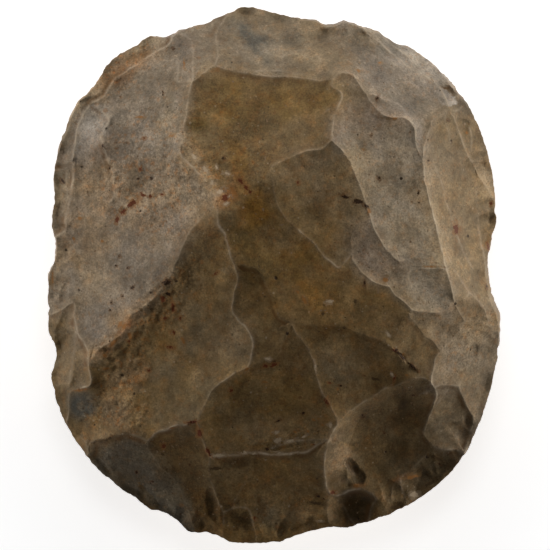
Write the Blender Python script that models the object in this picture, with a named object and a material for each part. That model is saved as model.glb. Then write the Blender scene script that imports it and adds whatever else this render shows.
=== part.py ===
"""A stone hand axe: a thick, nearly round flint worked on both faces, lying on its flatter face.

The stone is made the way it was knapped. A lens-shaped blank takes its outline from the working
edge, and then every flake that was struck off is one hollow, a shallow piece of a sphere. Two
hollows side by side meet in a ridge, and three of them meet in a junction, so a flake scar is
given by three points that it passes through and by how flat it is.
"""

import math

import bmesh
import bpy
from mathutils import Vector

# Driving dimensions, in metres
LENGTH = 0.120
MM = LENGTH / 120
FACE_RISE = 30 * MM
UNDER_RISE = 24 * MM
REST_DEPTH = 19 * MM
CENTRING = Vector((-0.26 * MM, -0.1 * MM, 0))

FLINT_COLOUR = (0.135, 0.105, 0.070, 1)
FLINT_ROUGHNESS = 0.5

# Fineness of the blank and of the hollows
BLANK_SEGMENTS = 120
BLANK_RINGS = 12
HOLLOW_SEGMENTS = 32
FACET = 5.5 * MM
FEWEST_RINGS = 6
WIDEST_HOLLOW = 84 * MM
WIDEST_SHARE = 0.96
HOLLOW_BACK = 70 * MM
BACK_ROUNDNESS = 6

# The working edge seen from above: its distance from the middle every 15 degrees from +X, and the
# chips that bite into it, each with its bearing, half width in degrees and depth
EDGE_RADII = (50.1, 51.7, 55.4, 58.6, 59.6, 59.3, 60.1, 60.7, 60.6, 59.2, 55.6, 51.2,
              50.3, 51.9, 56.0, 58.2, 58.8, 60.6, 59.7, 58.8, 59.6, 59.0, 55.4, 52.6)
EDGE_CHIPS = ((2, 11.5, 1.9), (63, 3.5, 0.7), (77.5, 2.8, 0.9), (84.5, 10, 1.8), (107.5, 10.5, 2.2),
              (114, 3, 0.7), (121, 3.5, 0.6), (133, 4.5, 1.0), (160.5, 4, 0.4), (173.5, 6, 1.3),
              (199.5, 4.5, 1.5), (247, 4.5, 1.3), (256.5, 4, 1.2), (279, 7.5, 1.3))

# Junctions of the ridges on the upper face: X, Y and height above the edge, in MM
APEX = (-11, 17, 24.4)
CROWN = (-3, 24, 24.2)
BROW = (13.5, 30, 21.8)
SHOULDER = (-20, 28, 20)
CROSS = (-12.3, 46.5, 12)
WAIST = (4.5, -11.5, 19.2)
NOOK = (-5, -20, 17)
HEEL = (-28, -36.5, 9)
STEP_LEFT = (-13.8, -40, 10)
STEP_RIGHT = (12.5, -36.5, 11)
BOWL_TOP = (14, -31, 13.2)
SPUR = (38, -16.5, 11.6)
STRIP = (41, -25, 7.4)

# Flake scars of the upper face: hollow radius in MM and three points on the scar
FACE_SCARS = {
    "left slope": (160, APEX, (-35, -13, 11.8), (-48.7, 17, 3.5)),
    "upper left slope": (100, SHOULDER, (-37, 32, 10), (-26, 50, 6)),
    "upper left margin": (100, (-38, 41, 5.4), (-25, 50, 6), (-34, 50, 1.2)),
    "upper left flake": (25, (-36, 35, 9), (-39, 38.5, 6.5), (-44, 34, 3.4)),
    "left flake": (40, (-38.5, 30, 8.6), (-36, 15, 9.3), (-44.5, 22, 5.4)),
    "left notch": (30, (-44.5, 25.5, 5.3), (-46, 10.5, 4.9), (-49, 17, 1)),
    "left low notch": (60, (-44.5, -7, 6.6), (-41.2, -18, 9.2), (-50, -13.5, 1)),
    "lower left margin": (40, (-41.5, -24, 8.6), (-38.5, -36, 5.6), (-48, -30, 1)),
    "top left": (60, CROSS, (-21.5, 50, 7.6), (-15, 56.8, 1.8)),
    "top": (120, CROSS, (14, 44, 15.2), (0, 58.3, 2)),
    "top right margin": (80, (20.3, 50, 8), (38, 40.5, 8), (31, 50.4, 1.5)),
    "upper middle": (110, SHOULDER, BROW, CROSS),
    "brow flake": (40, (13.5, 30.5, 21.4), (14, 43.5, 16), (20.5, 40, 15)),
    "upper right": (60, (19.5, 45, 12.7), (31.5, 34, 15), (39, 37, 9)),
    "upper right margin": (60, (39, 38, 8.5), (39.5, 30, 10.8), (47, 30, 1.5)),
    "right slope": (150, BROW, (28, 2.5, 17), (35, 15, 13.8)),
    "right margin": (120, (33.5, 27, 14.2), (38.5, 0, 13.9), (49, 12, 1.5)),
    "right middle": (200, CROWN, (14, 2.3, 19.3), BROW),
    "right middle flake": (30, (17.5, 9, 19.2), (28, 2.5, 17), (24, -1.7, 17.6)),
    "middle": (500, APEX, WAIST, (31, -9, 16.4)),
    "middle hollow": (45, (-8, 1, 20.9), (2, -8, 19.7), (-3.5, -19.5, 16.9)),
    "lower left": (220, (-13.5, 14.5, 23.4), (-28, -33.5, 10), (-40, -17.5, 10)),
    "tongue": (60, (-8.3, -2, 20.3), NOOK, (-18, -18, 14.2)),
    "lower middle": (160, NOOK, STEP_LEFT, STEP_RIGHT),
    "lower right": (120, WAIST, (23, -13.5, 16.9), BOWL_TOP),
    "spur flake": (30, (31, -8.5, 16.2), (31, -20.5, 13), (37, -15.5, 11.8)),
    "spur top": (40, (34.5, -7.5, 15.9), (42, -8, 11.2), SPUR),
    "spur side": (60, SPUR, (45, -16, 6.6), STRIP),
    "right strip": (90, STRIP, (50, -20, 1.5), (45, -33, 2.4)),
    "tooth": (18, (37, -25, 9), (36, -37.5, 4.6), (45, -32.5, 2.6)),
    "bowl": (30, (13, -36, 11), (33, -23.5, 12), (27.5, -48, 2)),
    "bottom right edge": (40, (36.5, -38.5, 3.4), (27.5, -48, 2), (40, -44, 0.5)),
    "bottom nibble": (12, (13.5, -50, 3), (22.5, -49.5, 2.2), (17, -56, 0.5)),
    "bottom": (90, STEP_LEFT, STEP_RIGHT, (0, -59, 0.5)),
    "bottom left": (90, HEEL, STEP_LEFT, (-13, -58, 1)),
    "heel": (200, HEEL, (-42, -39.5, 3), (-25, -52.5, 1.2)),
}

# Junctions in a ring underneath: bearing, share of the way out to the edge, and depth in MM. A scar
# runs out to the edge between each two of them, and one runs in to the resting facet at every second one
UNDER_JUNCTIONS = ((4, 0.66, 12.2), (36, 0.60, 13.6), (68, 0.67, 11.8), (97, 0.62, 13.0), (132, 0.69, 11.2),
                   (163, 0.62, 13.4), (196, 0.68, 11.6), (226, 0.61, 13.2), (258, 0.68, 11.6), (292, 0.61, 13.4),
                   (326, 0.67, 12.0))
UNDER_HOLLOWS = (150, 95, 220)
UNDER_RIM = -0.2
REST_SHARES = (0.34, 0.24, 0.30)
REST_HOLLOW = 130
UPWARD = Vector((0, 0, 1))
ROUNDING = 1e-6


def collection(name):
    made = bpy.data.collections.new(name)
    bpy.context.scene.collection.children.link(made)
    return made


def edge_radius(bearing):
    """Distance in MM of the working edge from the middle: a smooth curve through the radii, less chips."""
    count = len(EDGE_RADII)
    place = bearing % 360 * count / 360
    first = int(place)
    t = place - first
    before, start, end, after = (EDGE_RADII[(first + step) % count] for step in (-1, 0, 1, 2))
    bend = 2 * before - 5 * start + 4 * end - after
    twist = 3 * start - before - 3 * end + after
    radius = start + 0.5 * t * (end - before + t * (bend + t * twist))
    for middle, half_width, depth in EDGE_CHIPS:
        across = ((bearing - middle + 180) % 360 - 180) / half_width
        radius -= depth * max(0, 1 - across * across)
    return radius


def edge_point(bearing, share=1, height=0):
    """A point in MM that lies the given share of the way out to the edge."""
    reach = share * edge_radius(bearing)
    angle = math.radians(bearing)
    return reach * math.cos(angle), reach * math.sin(angle), height


def blank():
    """The lens that the flakes are struck from: a sphere drawn out to the working edge."""
    shape = bmesh.new()
    bmesh.ops.create_uvsphere(shape, u_segments=BLANK_SEGMENTS, v_segments=BLANK_RINGS, radius=1)
    for vertex in shape.verts:
        reach = edge_radius(math.degrees(math.atan2(vertex.co.y, vertex.co.x))) * MM
        rise = FACE_RISE if vertex.co.z > 0 else UNDER_RISE
        vertex.co = Vector((vertex.co.x * reach, vertex.co.y * reach, vertex.co.z * rise))
    return shape


def hollow(points, radius, outward):
    """The sphere through three points with its centre on the outer side: its centre and radius in metres,
    and the direction from the points to the centre."""
    first, second, third = (Vector(point) * MM for point in points)
    side = second - first
    other = third - first
    normal = side.cross(other)
    to_middle = (normal.cross(side) * other.length_squared + other.cross(normal) * side.length_squared)
    to_middle /= 2 * normal.length_squared
    normal.normalize()
    if normal.dot(outward) < 0:
        normal.negate()
    radius *= MM
    lift = math.sqrt(radius * radius - to_middle.length_squared)
    return first + to_middle + normal * lift, radius, normal


def cutter(name, shape, helpers):
    """An object that only shapes the stone, from a finished bmesh."""
    mesh = bpy.data.meshes.new(name)
    shape.to_mesh(mesh)
    shape.free()
    made = bpy.data.objects.new(name, mesh)
    made.hide_render = True
    made.display_type = "WIRE"
    helpers.objects.link(made)
    return made


def scar_cutter(name, radius, points, outward, helpers):
    """A plug with a spherical end, which leaves one flake scar. The end is a UV sphere's lower half,
    drawn out over the sphere of the scar, and the upper half closes the plug behind."""
    centre, radius, normal = hollow(points, radius, outward)
    widest = min(WIDEST_SHARE * radius, WIDEST_HOLLOW)
    rings = 2 * max(FEWEST_RINGS, round(widest / FACET))
    shape = bmesh.new()
    bmesh.ops.create_uvsphere(shape, u_segments=HOLLOW_SEGMENTS, v_segments=rings, radius=1)
    rim = -math.sqrt(radius * radius - widest * widest)
    for vertex in shape.verts:
        flat = Vector((vertex.co.x, vertex.co.y))
        polar = math.atan2(flat.length, abs(vertex.co.z)) / (math.pi / 2)
        reach = widest * polar
        if vertex.co.z < ROUNDING:
            height = -math.sqrt(radius * radius - reach * reach)
        else:
            height = rim + HOLLOW_BACK * (1 - polar ** BACK_ROUNDNESS)
        if flat.length > ROUNDING:
            flat *= reach / flat.length
        vertex.co = Vector((flat.x, flat.y, height))
    plug = cutter(name, shape, helpers)
    plug.location = centre
    plug.rotation_euler = UPWARD.rotation_difference(normal).to_euler()
    return plug


def cut(stone, tool):
    """Strike one flake off the stone."""
    knock = stone.modifiers.new(tool.name, "BOOLEAN")
    knock.operation = "DIFFERENCE"
    knock.solver = "EXACT"
    knock.object = tool


def face_cutters(helpers):
    """The hollows of the upper face."""
    return [scar_cutter(name, radius, points, UPWARD, helpers)
            for name, (radius, *points) in FACE_SCARS.items()]


def halfway(number, following):
    """The bearing halfway between two of the junctions underneath."""
    start = UNDER_JUNCTIONS[number][0]
    turn = (UNDER_JUNCTIONS[following][0] - start) % 360
    return start + turn / 2


def under_cutters(helpers):
    """The hollows underneath: some run out to the edge, and the others run in to the resting facet."""
    cutters = []
    count = len(UNDER_JUNCTIONS)
    junctions = [edge_point(bearing, share, -depth) for bearing, share, depth in UNDER_JUNCTIONS]
    for number in range(count):
        following = (number + 1) % count
        rim = edge_point(halfway(number, following), 1, UNDER_RIM)
        points = (junctions[number], junctions[following], rim)
        radius = UNDER_HOLLOWS[number % len(UNDER_HOLLOWS)]
        cutters.append(scar_cutter(f"under scar {number + 1}", radius, points, -UPWARD, helpers))
    for number in range(0, count, 2):
        following = (number + 2) % count if number + 2 < count else 0
        share = REST_SHARES[number // 2 % len(REST_SHARES)]
        inner = edge_point(halfway(number, following), share, -REST_DEPTH / MM)
        points = (junctions[number], junctions[following], inner)
        name = f"inner scar {number // 2 + 1}"
        cutters.append(scar_cutter(name, REST_HOLLOW, points, -UPWARD, helpers))
    return cutters


def rest_cutter(helpers):
    """A block whose top is the level of the facet that the stone lies on."""
    shape = bmesh.new()
    bmesh.ops.create_cube(shape, size=LENGTH)
    block = cutter("resting facet", shape, helpers)
    block.location.z = -REST_DEPTH - LENGTH / 2
    return block


def flint():
    material = bpy.data.materials.new("flint")
    material.use_nodes = True
    shader = material.node_tree.nodes["Principled BSDF"]
    shader.inputs["Base Color"].default_value = FLINT_COLOUR
    shader.inputs["Roughness"].default_value = FLINT_ROUGHNESS
    return material


def hand_axe():
    """Knap the whole stone, and set it down with its resting facet at Z = 0."""
    model = collection("Stone hand axe")
    helpers = collection("Flake cutters")
    edge_plane = bpy.data.objects.new("edge plane", None)
    edge_plane.location = CENTRING + UPWARD * REST_DEPTH
    model.objects.link(edge_plane)

    shape = blank()
    mesh = bpy.data.meshes.new("hand_axe")
    shape.to_mesh(mesh)
    shape.free()
    mesh.materials.append(flint())
    stone = bpy.data.objects.new("hand_axe", mesh)
    stone.parent = edge_plane
    model.objects.link(stone)

    for tool in (*face_cutters(helpers), *under_cutters(helpers), rest_cutter(helpers)):
        tool.parent = edge_plane
        cut(stone, tool)


for leftover in list(bpy.data.objects):
    bpy.data.objects.remove(leftover)
hand_axe()
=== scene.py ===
"""The stone hand axe as it looks: a knapped flint with its patina, lying on a pale floor.

The stone is two height fields that meet in the working edge. Each face is a lens-shaped blank less its
flake scars, and every scar is a hollow, a shallow piece of a sphere through three points. Underneath,
the lowest hollow at a place is the one that shows. On the upper face the ridges between the scars run
as drawn, and the skin hangs between them like a soap film. Finer relief, stains, spots and specks
come on top of that, with painted shade in some hollows, below some steps and at the foot of drops,
and pale ridge crests that are partly wear and partly painted highlight.

Every length in the tables is in millimetres of the stone: X to the right, Y to the top of the
stone, and Z above the plane of its working edge.
"""

import math

import bpy
import numpy as np
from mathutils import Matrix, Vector


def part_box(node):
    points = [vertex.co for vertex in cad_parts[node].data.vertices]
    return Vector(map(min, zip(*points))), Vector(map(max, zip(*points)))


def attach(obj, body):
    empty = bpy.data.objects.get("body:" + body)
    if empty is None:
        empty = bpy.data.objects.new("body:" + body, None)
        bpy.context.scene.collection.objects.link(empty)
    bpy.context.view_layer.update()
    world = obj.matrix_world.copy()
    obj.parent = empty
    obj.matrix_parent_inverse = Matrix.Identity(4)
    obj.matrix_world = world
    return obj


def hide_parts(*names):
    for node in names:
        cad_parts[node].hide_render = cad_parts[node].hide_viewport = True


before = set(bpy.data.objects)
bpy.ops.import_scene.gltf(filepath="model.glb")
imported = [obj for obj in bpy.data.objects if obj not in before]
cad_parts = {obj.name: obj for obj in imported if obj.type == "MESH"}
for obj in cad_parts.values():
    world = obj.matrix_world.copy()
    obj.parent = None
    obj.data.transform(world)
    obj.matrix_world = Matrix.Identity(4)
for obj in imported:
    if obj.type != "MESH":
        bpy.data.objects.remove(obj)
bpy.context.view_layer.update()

# ------------------------------------------------------------------ from the frame

NODE = "hand_axe"
LENGTH_OF_STONE = 119.92
EDGE_HEIGHT = 19
EDGE_OFFSET = (-0.26, -0.1)

low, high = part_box(NODE)
MM = (high.y - low.y) / LENGTH_OF_STONE
MIDDLE = Vector((
    (low.x + high.x) / 2 + EDGE_OFFSET[0] * MM,
    (low.y + high.y) / 2 + EDGE_OFFSET[1] * MM,
    low.z + EDGE_HEIGHT * MM,
))

# ------------------------------------------------------------------ the stone's main form

# How far the blank rises above the plane of the edge, and how far it reaches down below it
FACE_RISE = 30
UNDER_RISE = 24

# The working edge seen from above: its distance from the middle every 15 degrees from +X, and the
# chips that bite into it, each with its bearing, half width in degrees and depth
EDGE_RADII = (50.1, 51.7, 55.4, 58.6, 59.6, 59.3, 60.1, 60.7, 60.6, 59.2, 55.6, 51.2,
              50.3, 51.9, 56.0, 58.2, 58.8, 60.6, 59.7, 58.8, 59.6, 59.0, 55.4, 52.6)
EDGE_CHIPS = ((2, 11.5, 1.9), (63, 3.5, 0.7), (77.5, 2.8, 0.9), (84.5, 10, 1.8), (107.5, 10.5, 2.2),
              (114, 3, 0.7), (121, 3.5, 0.6), (133, 4.5, 1.0), (160.5, 4, 0.4), (173.5, 6, 1.3),
              (199.5, 4.5, 1.5), (247, 4.5, 1.3), (256.5, 4, 1.2), (279, 7.5, 1.3))

# Junctions of the ridges on the upper face
APEX = (-11, 17, 24.4)
CROWN = (-3, 24, 24.2)
BROW = (13.5, 30, 21.8)
SHOULDER = (-20, 28, 20)
CROSS = (-12.3, 46.5, 12)
WAIST = (4.5, -11.5, 19.2)
NOOK = (-5, -20, 17)
HEEL = (-28, -36.5, 9)
STEP_LEFT = (-13.8, -40, 10)
STEP_RIGHT = (12.5, -36.5, 11)
BOWL_TOP = (14, -31, 13.2)
SPUR = (38, -16.5, 11.6)
STRIP = (41, -25, 7.4)

# Flake scars of the upper face: patina, hollow radius, and three points on the scar
FACE_SCARS = {
    "left slope": ("grey", 160, APEX, (-35, -13, 11.8), (-48.7, 17, 3.5)),
    "upper left slope": ("grey", 100, SHOULDER, (-37, 32, 10), (-26, 50, 6)),
    "upper left margin": ("drab", 100, (-38, 41, 5.4), (-25, 50, 6), (-34, 50, 1.2)),
    "upper left flake": ("ash", 25, (-36, 35, 9), (-39, 38.5, 6.5), (-44, 34, 3.4)),
    "left flake": ("buff", 40, (-38.5, 30, 8.6), (-36, 15, 9.3), (-44.5, 22, 5.4)),
    "left notch": ("drab", 30, (-44.5, 25.5, 5.3), (-46, 10.5, 4.9), (-49, 17, 1)),
    "left low notch": ("dun", 60, (-44.5, -7, 6.6), (-41.2, -18, 9.2), (-50, -13.5, 1)),
    "lower left margin": ("dun", 40, (-41.5, -24, 8.6), (-38.5, -36, 5.6), (-48, -30, 1)),
    "top left": ("drab", 60, CROSS, (-21.5, 50, 7.6), (-15, 56.8, 1.8)),
    "top": ("drab", 120, CROSS, (14, 44, 15.2), (0, 58.3, 2)),
    "top right margin": ("ash", 80, (20.3, 50, 8), (38, 40.5, 8), (31, 50.4, 1.5)),
    "upper middle": ("brown", 110, SHOULDER, BROW, CROSS),
    "brow flake": ("buff", 40, (13.5, 30.5, 21.4), (14, 43.5, 16), (20.5, 40, 15)),
    "upper right": ("grey", 60, (19.5, 45, 12.7), (31.5, 34, 15), (39, 37, 9)),
    "upper right margin": ("dun", 60, (39, 38, 8.5), (39.5, 30, 10.8), (47, 30, 1.5)),
    "right slope": ("sand", 150, BROW, (28, 2.5, 17), (35, 15, 13.8)),
    "right margin": ("tan", 120, (33.5, 27, 14.2), (38.5, 0, 13.9), (49, 12, 1.5)),
    "right middle": ("tan", 200, CROWN, (14, 2.3, 19.3), BROW),
    "right middle flake": ("buff", 30, (17.5, 9, 19.2), (28, 2.5, 17), (24, -1.7, 17.6)),
    "middle": ("brown", 500, APEX, WAIST, (31, -9, 16.4)),
    "middle hollow": ("brown", 45, (-8, 1, 20.9), (2, -8, 19.7), (-3.5, -19.5, 16.9)),
    "lower left": ("brown", 220, (-13.5, 14.5, 23.4), (-28, -33.5, 10), (-40, -17.5, 10)),
    "tongue": ("tan", 60, (-8.3, -2, 20.3), NOOK, (-18, -18, 14.2)),
    "lower middle": ("brown", 160, NOOK, STEP_LEFT, STEP_RIGHT),
    "lower right": ("brown", 120, WAIST, (23, -13.5, 16.9), BOWL_TOP),
    "spur flake": ("tan", 30, (31, -8.5, 16.2), (31, -20.5, 13), (37, -15.5, 11.8)),
    "spur top": ("cream", 40, (34.5, -7.5, 15.9), (42, -8, 11.2), SPUR),
    "spur side": ("cream", 60, SPUR, (45, -16, 6.6), STRIP),
    "right strip": ("drab", 90, STRIP, (50, -20, 1.5), (45, -33, 2.4)),
    "tooth": ("drab", 18, (37, -25, 9), (36, -37.5, 4.6), (45, -32.5, 2.6)),
    "bowl": ("dun", 30, (13, -36, 11), (33, -23.5, 12), (27.5, -48, 2)),
    "bottom right edge": ("dun", 40, (36.5, -38.5, 3.4), (27.5, -48, 2), (40, -44, 0.5)),
    "bottom nibble": ("umber", 12, (13.5, -50, 3), (22.5, -49.5, 2.2), (17, -56, 0.5)),
    "bottom": ("brown", 90, STEP_LEFT, STEP_RIGHT, (0, -59, 0.5)),
    "bottom left": ("umber", 90, HEEL, STEP_LEFT, (-13, -58, 1)),
    "heel": ("slate", 200, HEEL, (-42, -39.5, 3), (-25, -52.5, 1.2)),
}

# The ridges of the upper face as they run, seen from above: the scar on the left and the one on the
# right of somebody who walks along it, how pale its crest is (partly wear, partly painted highlight), how
# far the skin drops straight away on the right (None where the skin only rolls over from one scar to the
# other), and the points that its curve goes through
RIDGES = (
    ("upper left slope", "upper left margin", 0.7, 0.15, (-22.5, 53.5), (-23.2, 51.5), (-26.5, 49.3),
     (-31, 46.7), (-35, 43.9), (-37.3, 40.3), (-41, 37.8)),
    ("upper left flake", "upper left margin", 0.8, 0.1, (-41, 37.8), (-43, 34), (-44.2, 29.5),
     (-44.6, 25.3)),
    ("upper left slope", "upper left flake", 0.6, 0.1, (-41, 37.8), (-39, 37.5), (-36.8, 35.6),
     (-36.3, 34.3)),
    ("left slope", "upper left flake", 0.5, 0.1, (-36.3, 34.3), (-37, 33), (-38.6, 30.7)),
    ("left flake", "upper left flake", 0, None, (-38.6, 30.7), (-41.5, 28.2), (-44.6, 25.3)),
    ("upper left slope", "left slope", 0, None, (-36.3, 34.3), (-33, 32), (-28, 29.8), (-22, 28.8),
     (-20.3, 27.5)),
    ("left slope", "left flake", 0.5, 0.12, (-38.6, 30.7), (-37.5, 28), (-36.1, 23.5), (-35.3, 18.5),
     (-36.2, 16)),
    ("left slope", "left flake", 0, None, (-36.2, 16), (-39, 12.8), (-43, 10.8), (-46.2, 10.2)),
    ("left flake", "left notch", 0.45, 0.35, (-48.7, 25.1), (-46.5, 25.4), (-44.6, 25.3), (-44.5, 22),
     (-45.2, 18.3), (-45.9, 14), (-46.2, 10.2), (-48.5, 8)),
    ("upper middle", "top left", 0.6, 0, (-12.8, 46.5), (-15.5, 45), (-18.3, 43.2)),
    ("upper middle", "upper left slope", 0.7, 0, (-18.3, 43.2), (-19, 40), (-19.3, 36.5), (-20.3, 30),
     (-20.3, 27.5)),
    ("upper middle", "left slope", 0.6, 0, (-20.3, 27.5), (-18.5, 24.5), (-15, 21), (-12.3, 16.8)),
    ("top left", "upper left slope", 0.6, 0.05, (-21.5, 54), (-18.8, 52.5), (-17.9, 49.5), (-17.9, 45),
     (-18.3, 43.2)),
    ("top", "top left", 0.7, 0.1, (-9.6, 59), (-12.3, 55), (-12.7, 52.5), (-12.3, 49.5), (-12.8, 46.5)),
    ("top", "upper middle", 0.8, 0.12, (-12.8, 46.5), (-10, 46), (-5, 44.9), (0, 44), (4, 44), (10, 43.5),
     (13.3, 44)),
    ("top", "brow flake", 0.4, 0.1, (13.3, 44), (14.6, 44.9), (16.2, 45), (18, 44.5)),
    ("upper right", "top", 0, None, (20.8, 54.5), (20.6, 51), (19.3, 48), (18, 44.5)),
    ("upper right", "brow flake", 0.5, 0.05, (18, 44.5), (20.5, 40.5), (22.5, 37.3), (25, 35.2),
     (29.7, 35)),
    ("brow flake", "upper middle", 0.6, 0, (13.3, 44), (13, 42.3), (15.2, 40.3), (14.6, 37), (13.6, 34.5),
     (13.1, 30)),
    ("brow flake", "right slope", 0, None, (13.1, 30), (17.5, 30.3), (22, 31.3), (26.5, 33.3),
     (29.7, 35)),
    ("right middle", "upper middle", 0.5, 0.1, (13.1, 30), (11, 28.3), (7, 27.2), (3, 26), (-0.5, 24.5)),
    ("middle", "upper middle", 0, None, (-0.5, 24.5), (-4, 22.8), (-7.5, 20.3), (-12.3, 16.8)),
    ("right middle", "middle", 0.2, 0, (-0.5, 24.5), (0, 20), (0.7, 16), (2.7, 13), (5.5, 10)),
    ("right middle", "middle", 0.7, 0, (5.5, 10), (8.5, 7.5), (11, 4.8), (13.8, 2.6), (15.4, 2.4),
     (17.3, 5)),
    ("right slope", "right middle", 0.8, 0, (13.1, 30), (15.8, 27.5), (18, 23.5), (20.3, 17), (21.6, 13)),
    ("right slope", "right middle flake", 0.7, 0, (21.6, 13), (22.7, 9.3), (25, 5.8), (28, 3)),
    ("right slope", "right middle flake", 0, None, (28, 3), (27.6, 0.5), (25.5, -2.2)),
    ("right middle flake", "right middle", 0.3, 0, (21.6, 13), (19, 11.2), (17.5, 8.5), (17.3, 5)),
    ("right middle flake", "middle", 0.7, 0, (17.3, 5), (18, 3), (20, 0.6), (22.5, -1.5), (25.5, -2.2)),
    ("right slope", "middle", 0.7, 0, (25.5, -2.2), (27, -4.2), (28.5, -5.3), (30.5, -7.8)),
    ("right slope", "spur top", 0.5, 0.08, (30.5, -7.8), (33, -8), (35.5, -7.9), (38, -7.4), (40.3, -6)),
    ("upper right margin", "right margin", 0.8, 0, (39.2, 37.6), (40.4, 34.5), (42, 30.2), (44.3, 25.3),
     (46.5, 21), (49, 17)),
    ("top right margin", "upper right", 0.9, 0, (20.3, 57), (20.8, 54.5), (26, 50), (30.5, 46.5),
     (35, 44.1), (37.6, 41), (39.2, 37.6)),
    ("top right margin", "upper right margin", 0.5, 0.3, (37.3, 41.7), (39, 42.2), (40.6, 41.8),
     (42, 40.8)),
    ("right margin", "upper right", 0.5, 0, (39.2, 37.6), (37.6, 36.2), (35.2, 34.5)),
    ("right margin", "upper right", 0.9, 0, (35.2, 34.5), (34.6, 32), (33.6, 28.5), (33.5, 25.5)),
    ("upper right", "right slope", 0.8, 0, (29.7, 35), (31.2, 33.5), (31.7, 31), (31.9, 29),
     (33.5, 25.5)),
    ("right margin", "right slope", 0.9, 0, (33.5, 25.5), (33.6, 22), (34.4, 18), (35.3, 14.5), (36.8, 8),
     (38, 3), (39.4, -1), (40.3, -6)),
    ("right margin", "spur top", 0.5, 0, (40.3, -6), (41, -7.5), (42.3, -10)),
    ("right margin", "spur side", 0.3, 0, (42.3, -10), (45.5, -10.3), (49, -11.5)),
    ("spur side", "spur top", 0.3, 0, (42.3, -10), (40.5, -13), (37.5, -16.8)),
    ("spur top", "spur flake", 0.6, 0.1, (30.5, -7.8), (30.3, -9.3), (31.5, -10.5), (34, -13.5),
     (36, -15), (37.5, -16.8)),
    ("spur side", "spur flake", 0.7, 0.1, (37.5, -16.8), (36.3, -18.5), (35.9, -21), (35.3, -24)),
    ("spur flake", "middle", 0, 0, (30.5, -7.8), (28.3, -11), (27, -14.3), (27.4, -16.8)),
    ("lower right", "spur flake", 0, 0, (33.6, -22.7), (32, -20.8), (30, -19.5), (27.4, -16.8)),
    ("middle", "lower right", 0.1, 0.08, (4, -10.5), (9, -11.2), (14.5, -11.3), (20, -13), (25, -15),
     (27.4, -16.8)),
    ("bowl", "lower right", 0.4, 0, (35.3, -24), (33.6, -22.7), (31, -22.8), (28, -23.8), (24, -26),
     (20, -28.3), (16.5, -30.5), (14.3, -32.8)),
    ("bowl", "bottom", 1, 0, (14.3, -32.8), (12.8, -35.5), (12.1, -38), (11.5, -42), (11.5, -45),
     (12.1, -47.5), (13.8, -49.4)),
    ("bowl", "bottom nibble", 0.8, 0.3, (13.8, -49.4), (15.5, -49.2), (17.3, -48.2), (19.2, -47.9),
     (21.5, -48.5), (23.3, -50.1)),
    ("bottom nibble", "bottom", 0.2, 0, (13.8, -49.4), (12.4, -50.8), (12, -54.8)),
    ("bowl", "bottom nibble", 0.3, 0.2, (23.3, -50.1), (22, -52), (21.2, -55)),
    ("tooth", "bowl", 0.8, 0.12, (35.3, -24), (36.5, -25.7), (36.4, -27.5), (35.5, -30), (34.2, -33),
     (33.9, -35.2), (36, -38.1)),
    ("spur side", "tooth", 0.6, 0.12, (36.2, -25.2), (37.5, -24.8), (39.5, -24.5), (41.4, -24.9)),
    ("right strip", "tooth", 0.7, 0.15, (41.4, -24.9), (42.6, -27.3), (44, -30.3), (44.8, -32.3),
     (43.9, -35), (42.9, -39.4)),
    ("right strip", "spur side", 0.3, 0, (49, -11.5), (46.2, -15.5), (43.6, -20), (41.4, -24.9)),
    ("tooth", "bottom right edge", 0.6, 0.25, (36, -38.1), (38.5, -38.7), (40.7, -38.7), (42.9, -39.4)),
    ("bottom right edge", "bowl", 0.2, 0, (36, -38.1), (34, -40), (31, -42.7), (28.5, -45.2), (26.3, -49),
     (24.6, -53)),
    ("lower right", "lower middle", 0.5, 0, (4, -10.5), (5, -12.3), (7.8, -16), (9.1, -19), (9.4, -22),
     (10.6, -25.8), (12.7, -29), (14.3, -32.8)),
    ("middle hollow", "lower middle", 0.1, 0.1, (-5.6, -20.4), (-2.5, -19.3), (0.3, -18.8), (2, -15),
     (4, -10.5)),
    ("middle", "lower left", 0.8, 0, (-12.3, 16.8), (-11.8, 12), (-10.4, 8.5), (-9.6, 5), (-8.8, 3)),
    ("middle hollow", "tongue", 0.8, 0, (-8.8, 3), (-8, -0.5), (-8.8, -4), (-9, -7.5), (-7.2, -10.3),
     (-5.5, -12), (-4.4, -16), (-5.6, -20.4)),
    ("middle", "middle hollow", 0.1, 0.15, (-8.8, 3), (-6, 2.2), (-3.4, 1), (-2, -1.5), (0, -6),
     (1.3, -8.7), (4, -10.5)),
    ("tongue", "lower left", 0, None, (-8.8, -1), (-14, -4), (-18, -9), (-18.5, -15), (-15.5, -20.5),
     (-11, -23.3)),
    ("lower left", "left slope", 0.25, 0.05, (-12.3, 16.8), (-16.5, 12), (-19.5, 7.5), (-22.5, 1),
     (-25, -2.8), (-29, -7), (-31.8, -9.2), (-33.6, -12.8), (-37, -15), (-39.8, -17.5), (-41.1, -20)),
    ("left slope", "left low notch", 0.7, 0.2, (-49.3, -9), (-47, -7.6), (-44.5, -6), (-44.2, -9),
     (-43.8, -12), (-41.8, -15.8), (-41.1, -20)),
    ("lower left", "left low notch", 0.8, 0, (-41.1, -20), (-40.7, -23.5), (-41.4, -24.8)),
    ("lower left margin", "left low notch", 0.9, 0, (-41.4, -24.8), (-44, -25.6), (-45.4, -26.6),
     (-45.5, -30.5), (-46.2, -33)),
    ("lower left", "lower left margin", 0, None, (-41.4, -24.8), (-38.8, -27), (-37.5, -30), (-38, -33.5),
     (-40, -36.8)),
    ("heel", "lower left", 0.3, -0.25, (-28, -36.6), (-31, -35.7), (-33.5, -35.4), (-35.8, -35.8),
     (-37.9, -37.2), (-40, -36.8)),
    ("heel", "lower left margin", 0.3, -0.25, (-40, -36.8), (-40.2, -39.3), (-41.9, -40.2)),
    ("lower left", "bottom left", 0.9, 0.3, (-28, -36.6), (-26.5, -35.3), (-23, -34), (-19.6, -33.1),
     (-17.9, -32.3), (-16.8, -32.3)),
    ("lower left", "lower middle", 0.7, 0, (-16.8, -32.3), (-15.8, -29.8), (-14.3, -26.8), (-12, -24),
     (-11, -23.3)),
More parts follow.
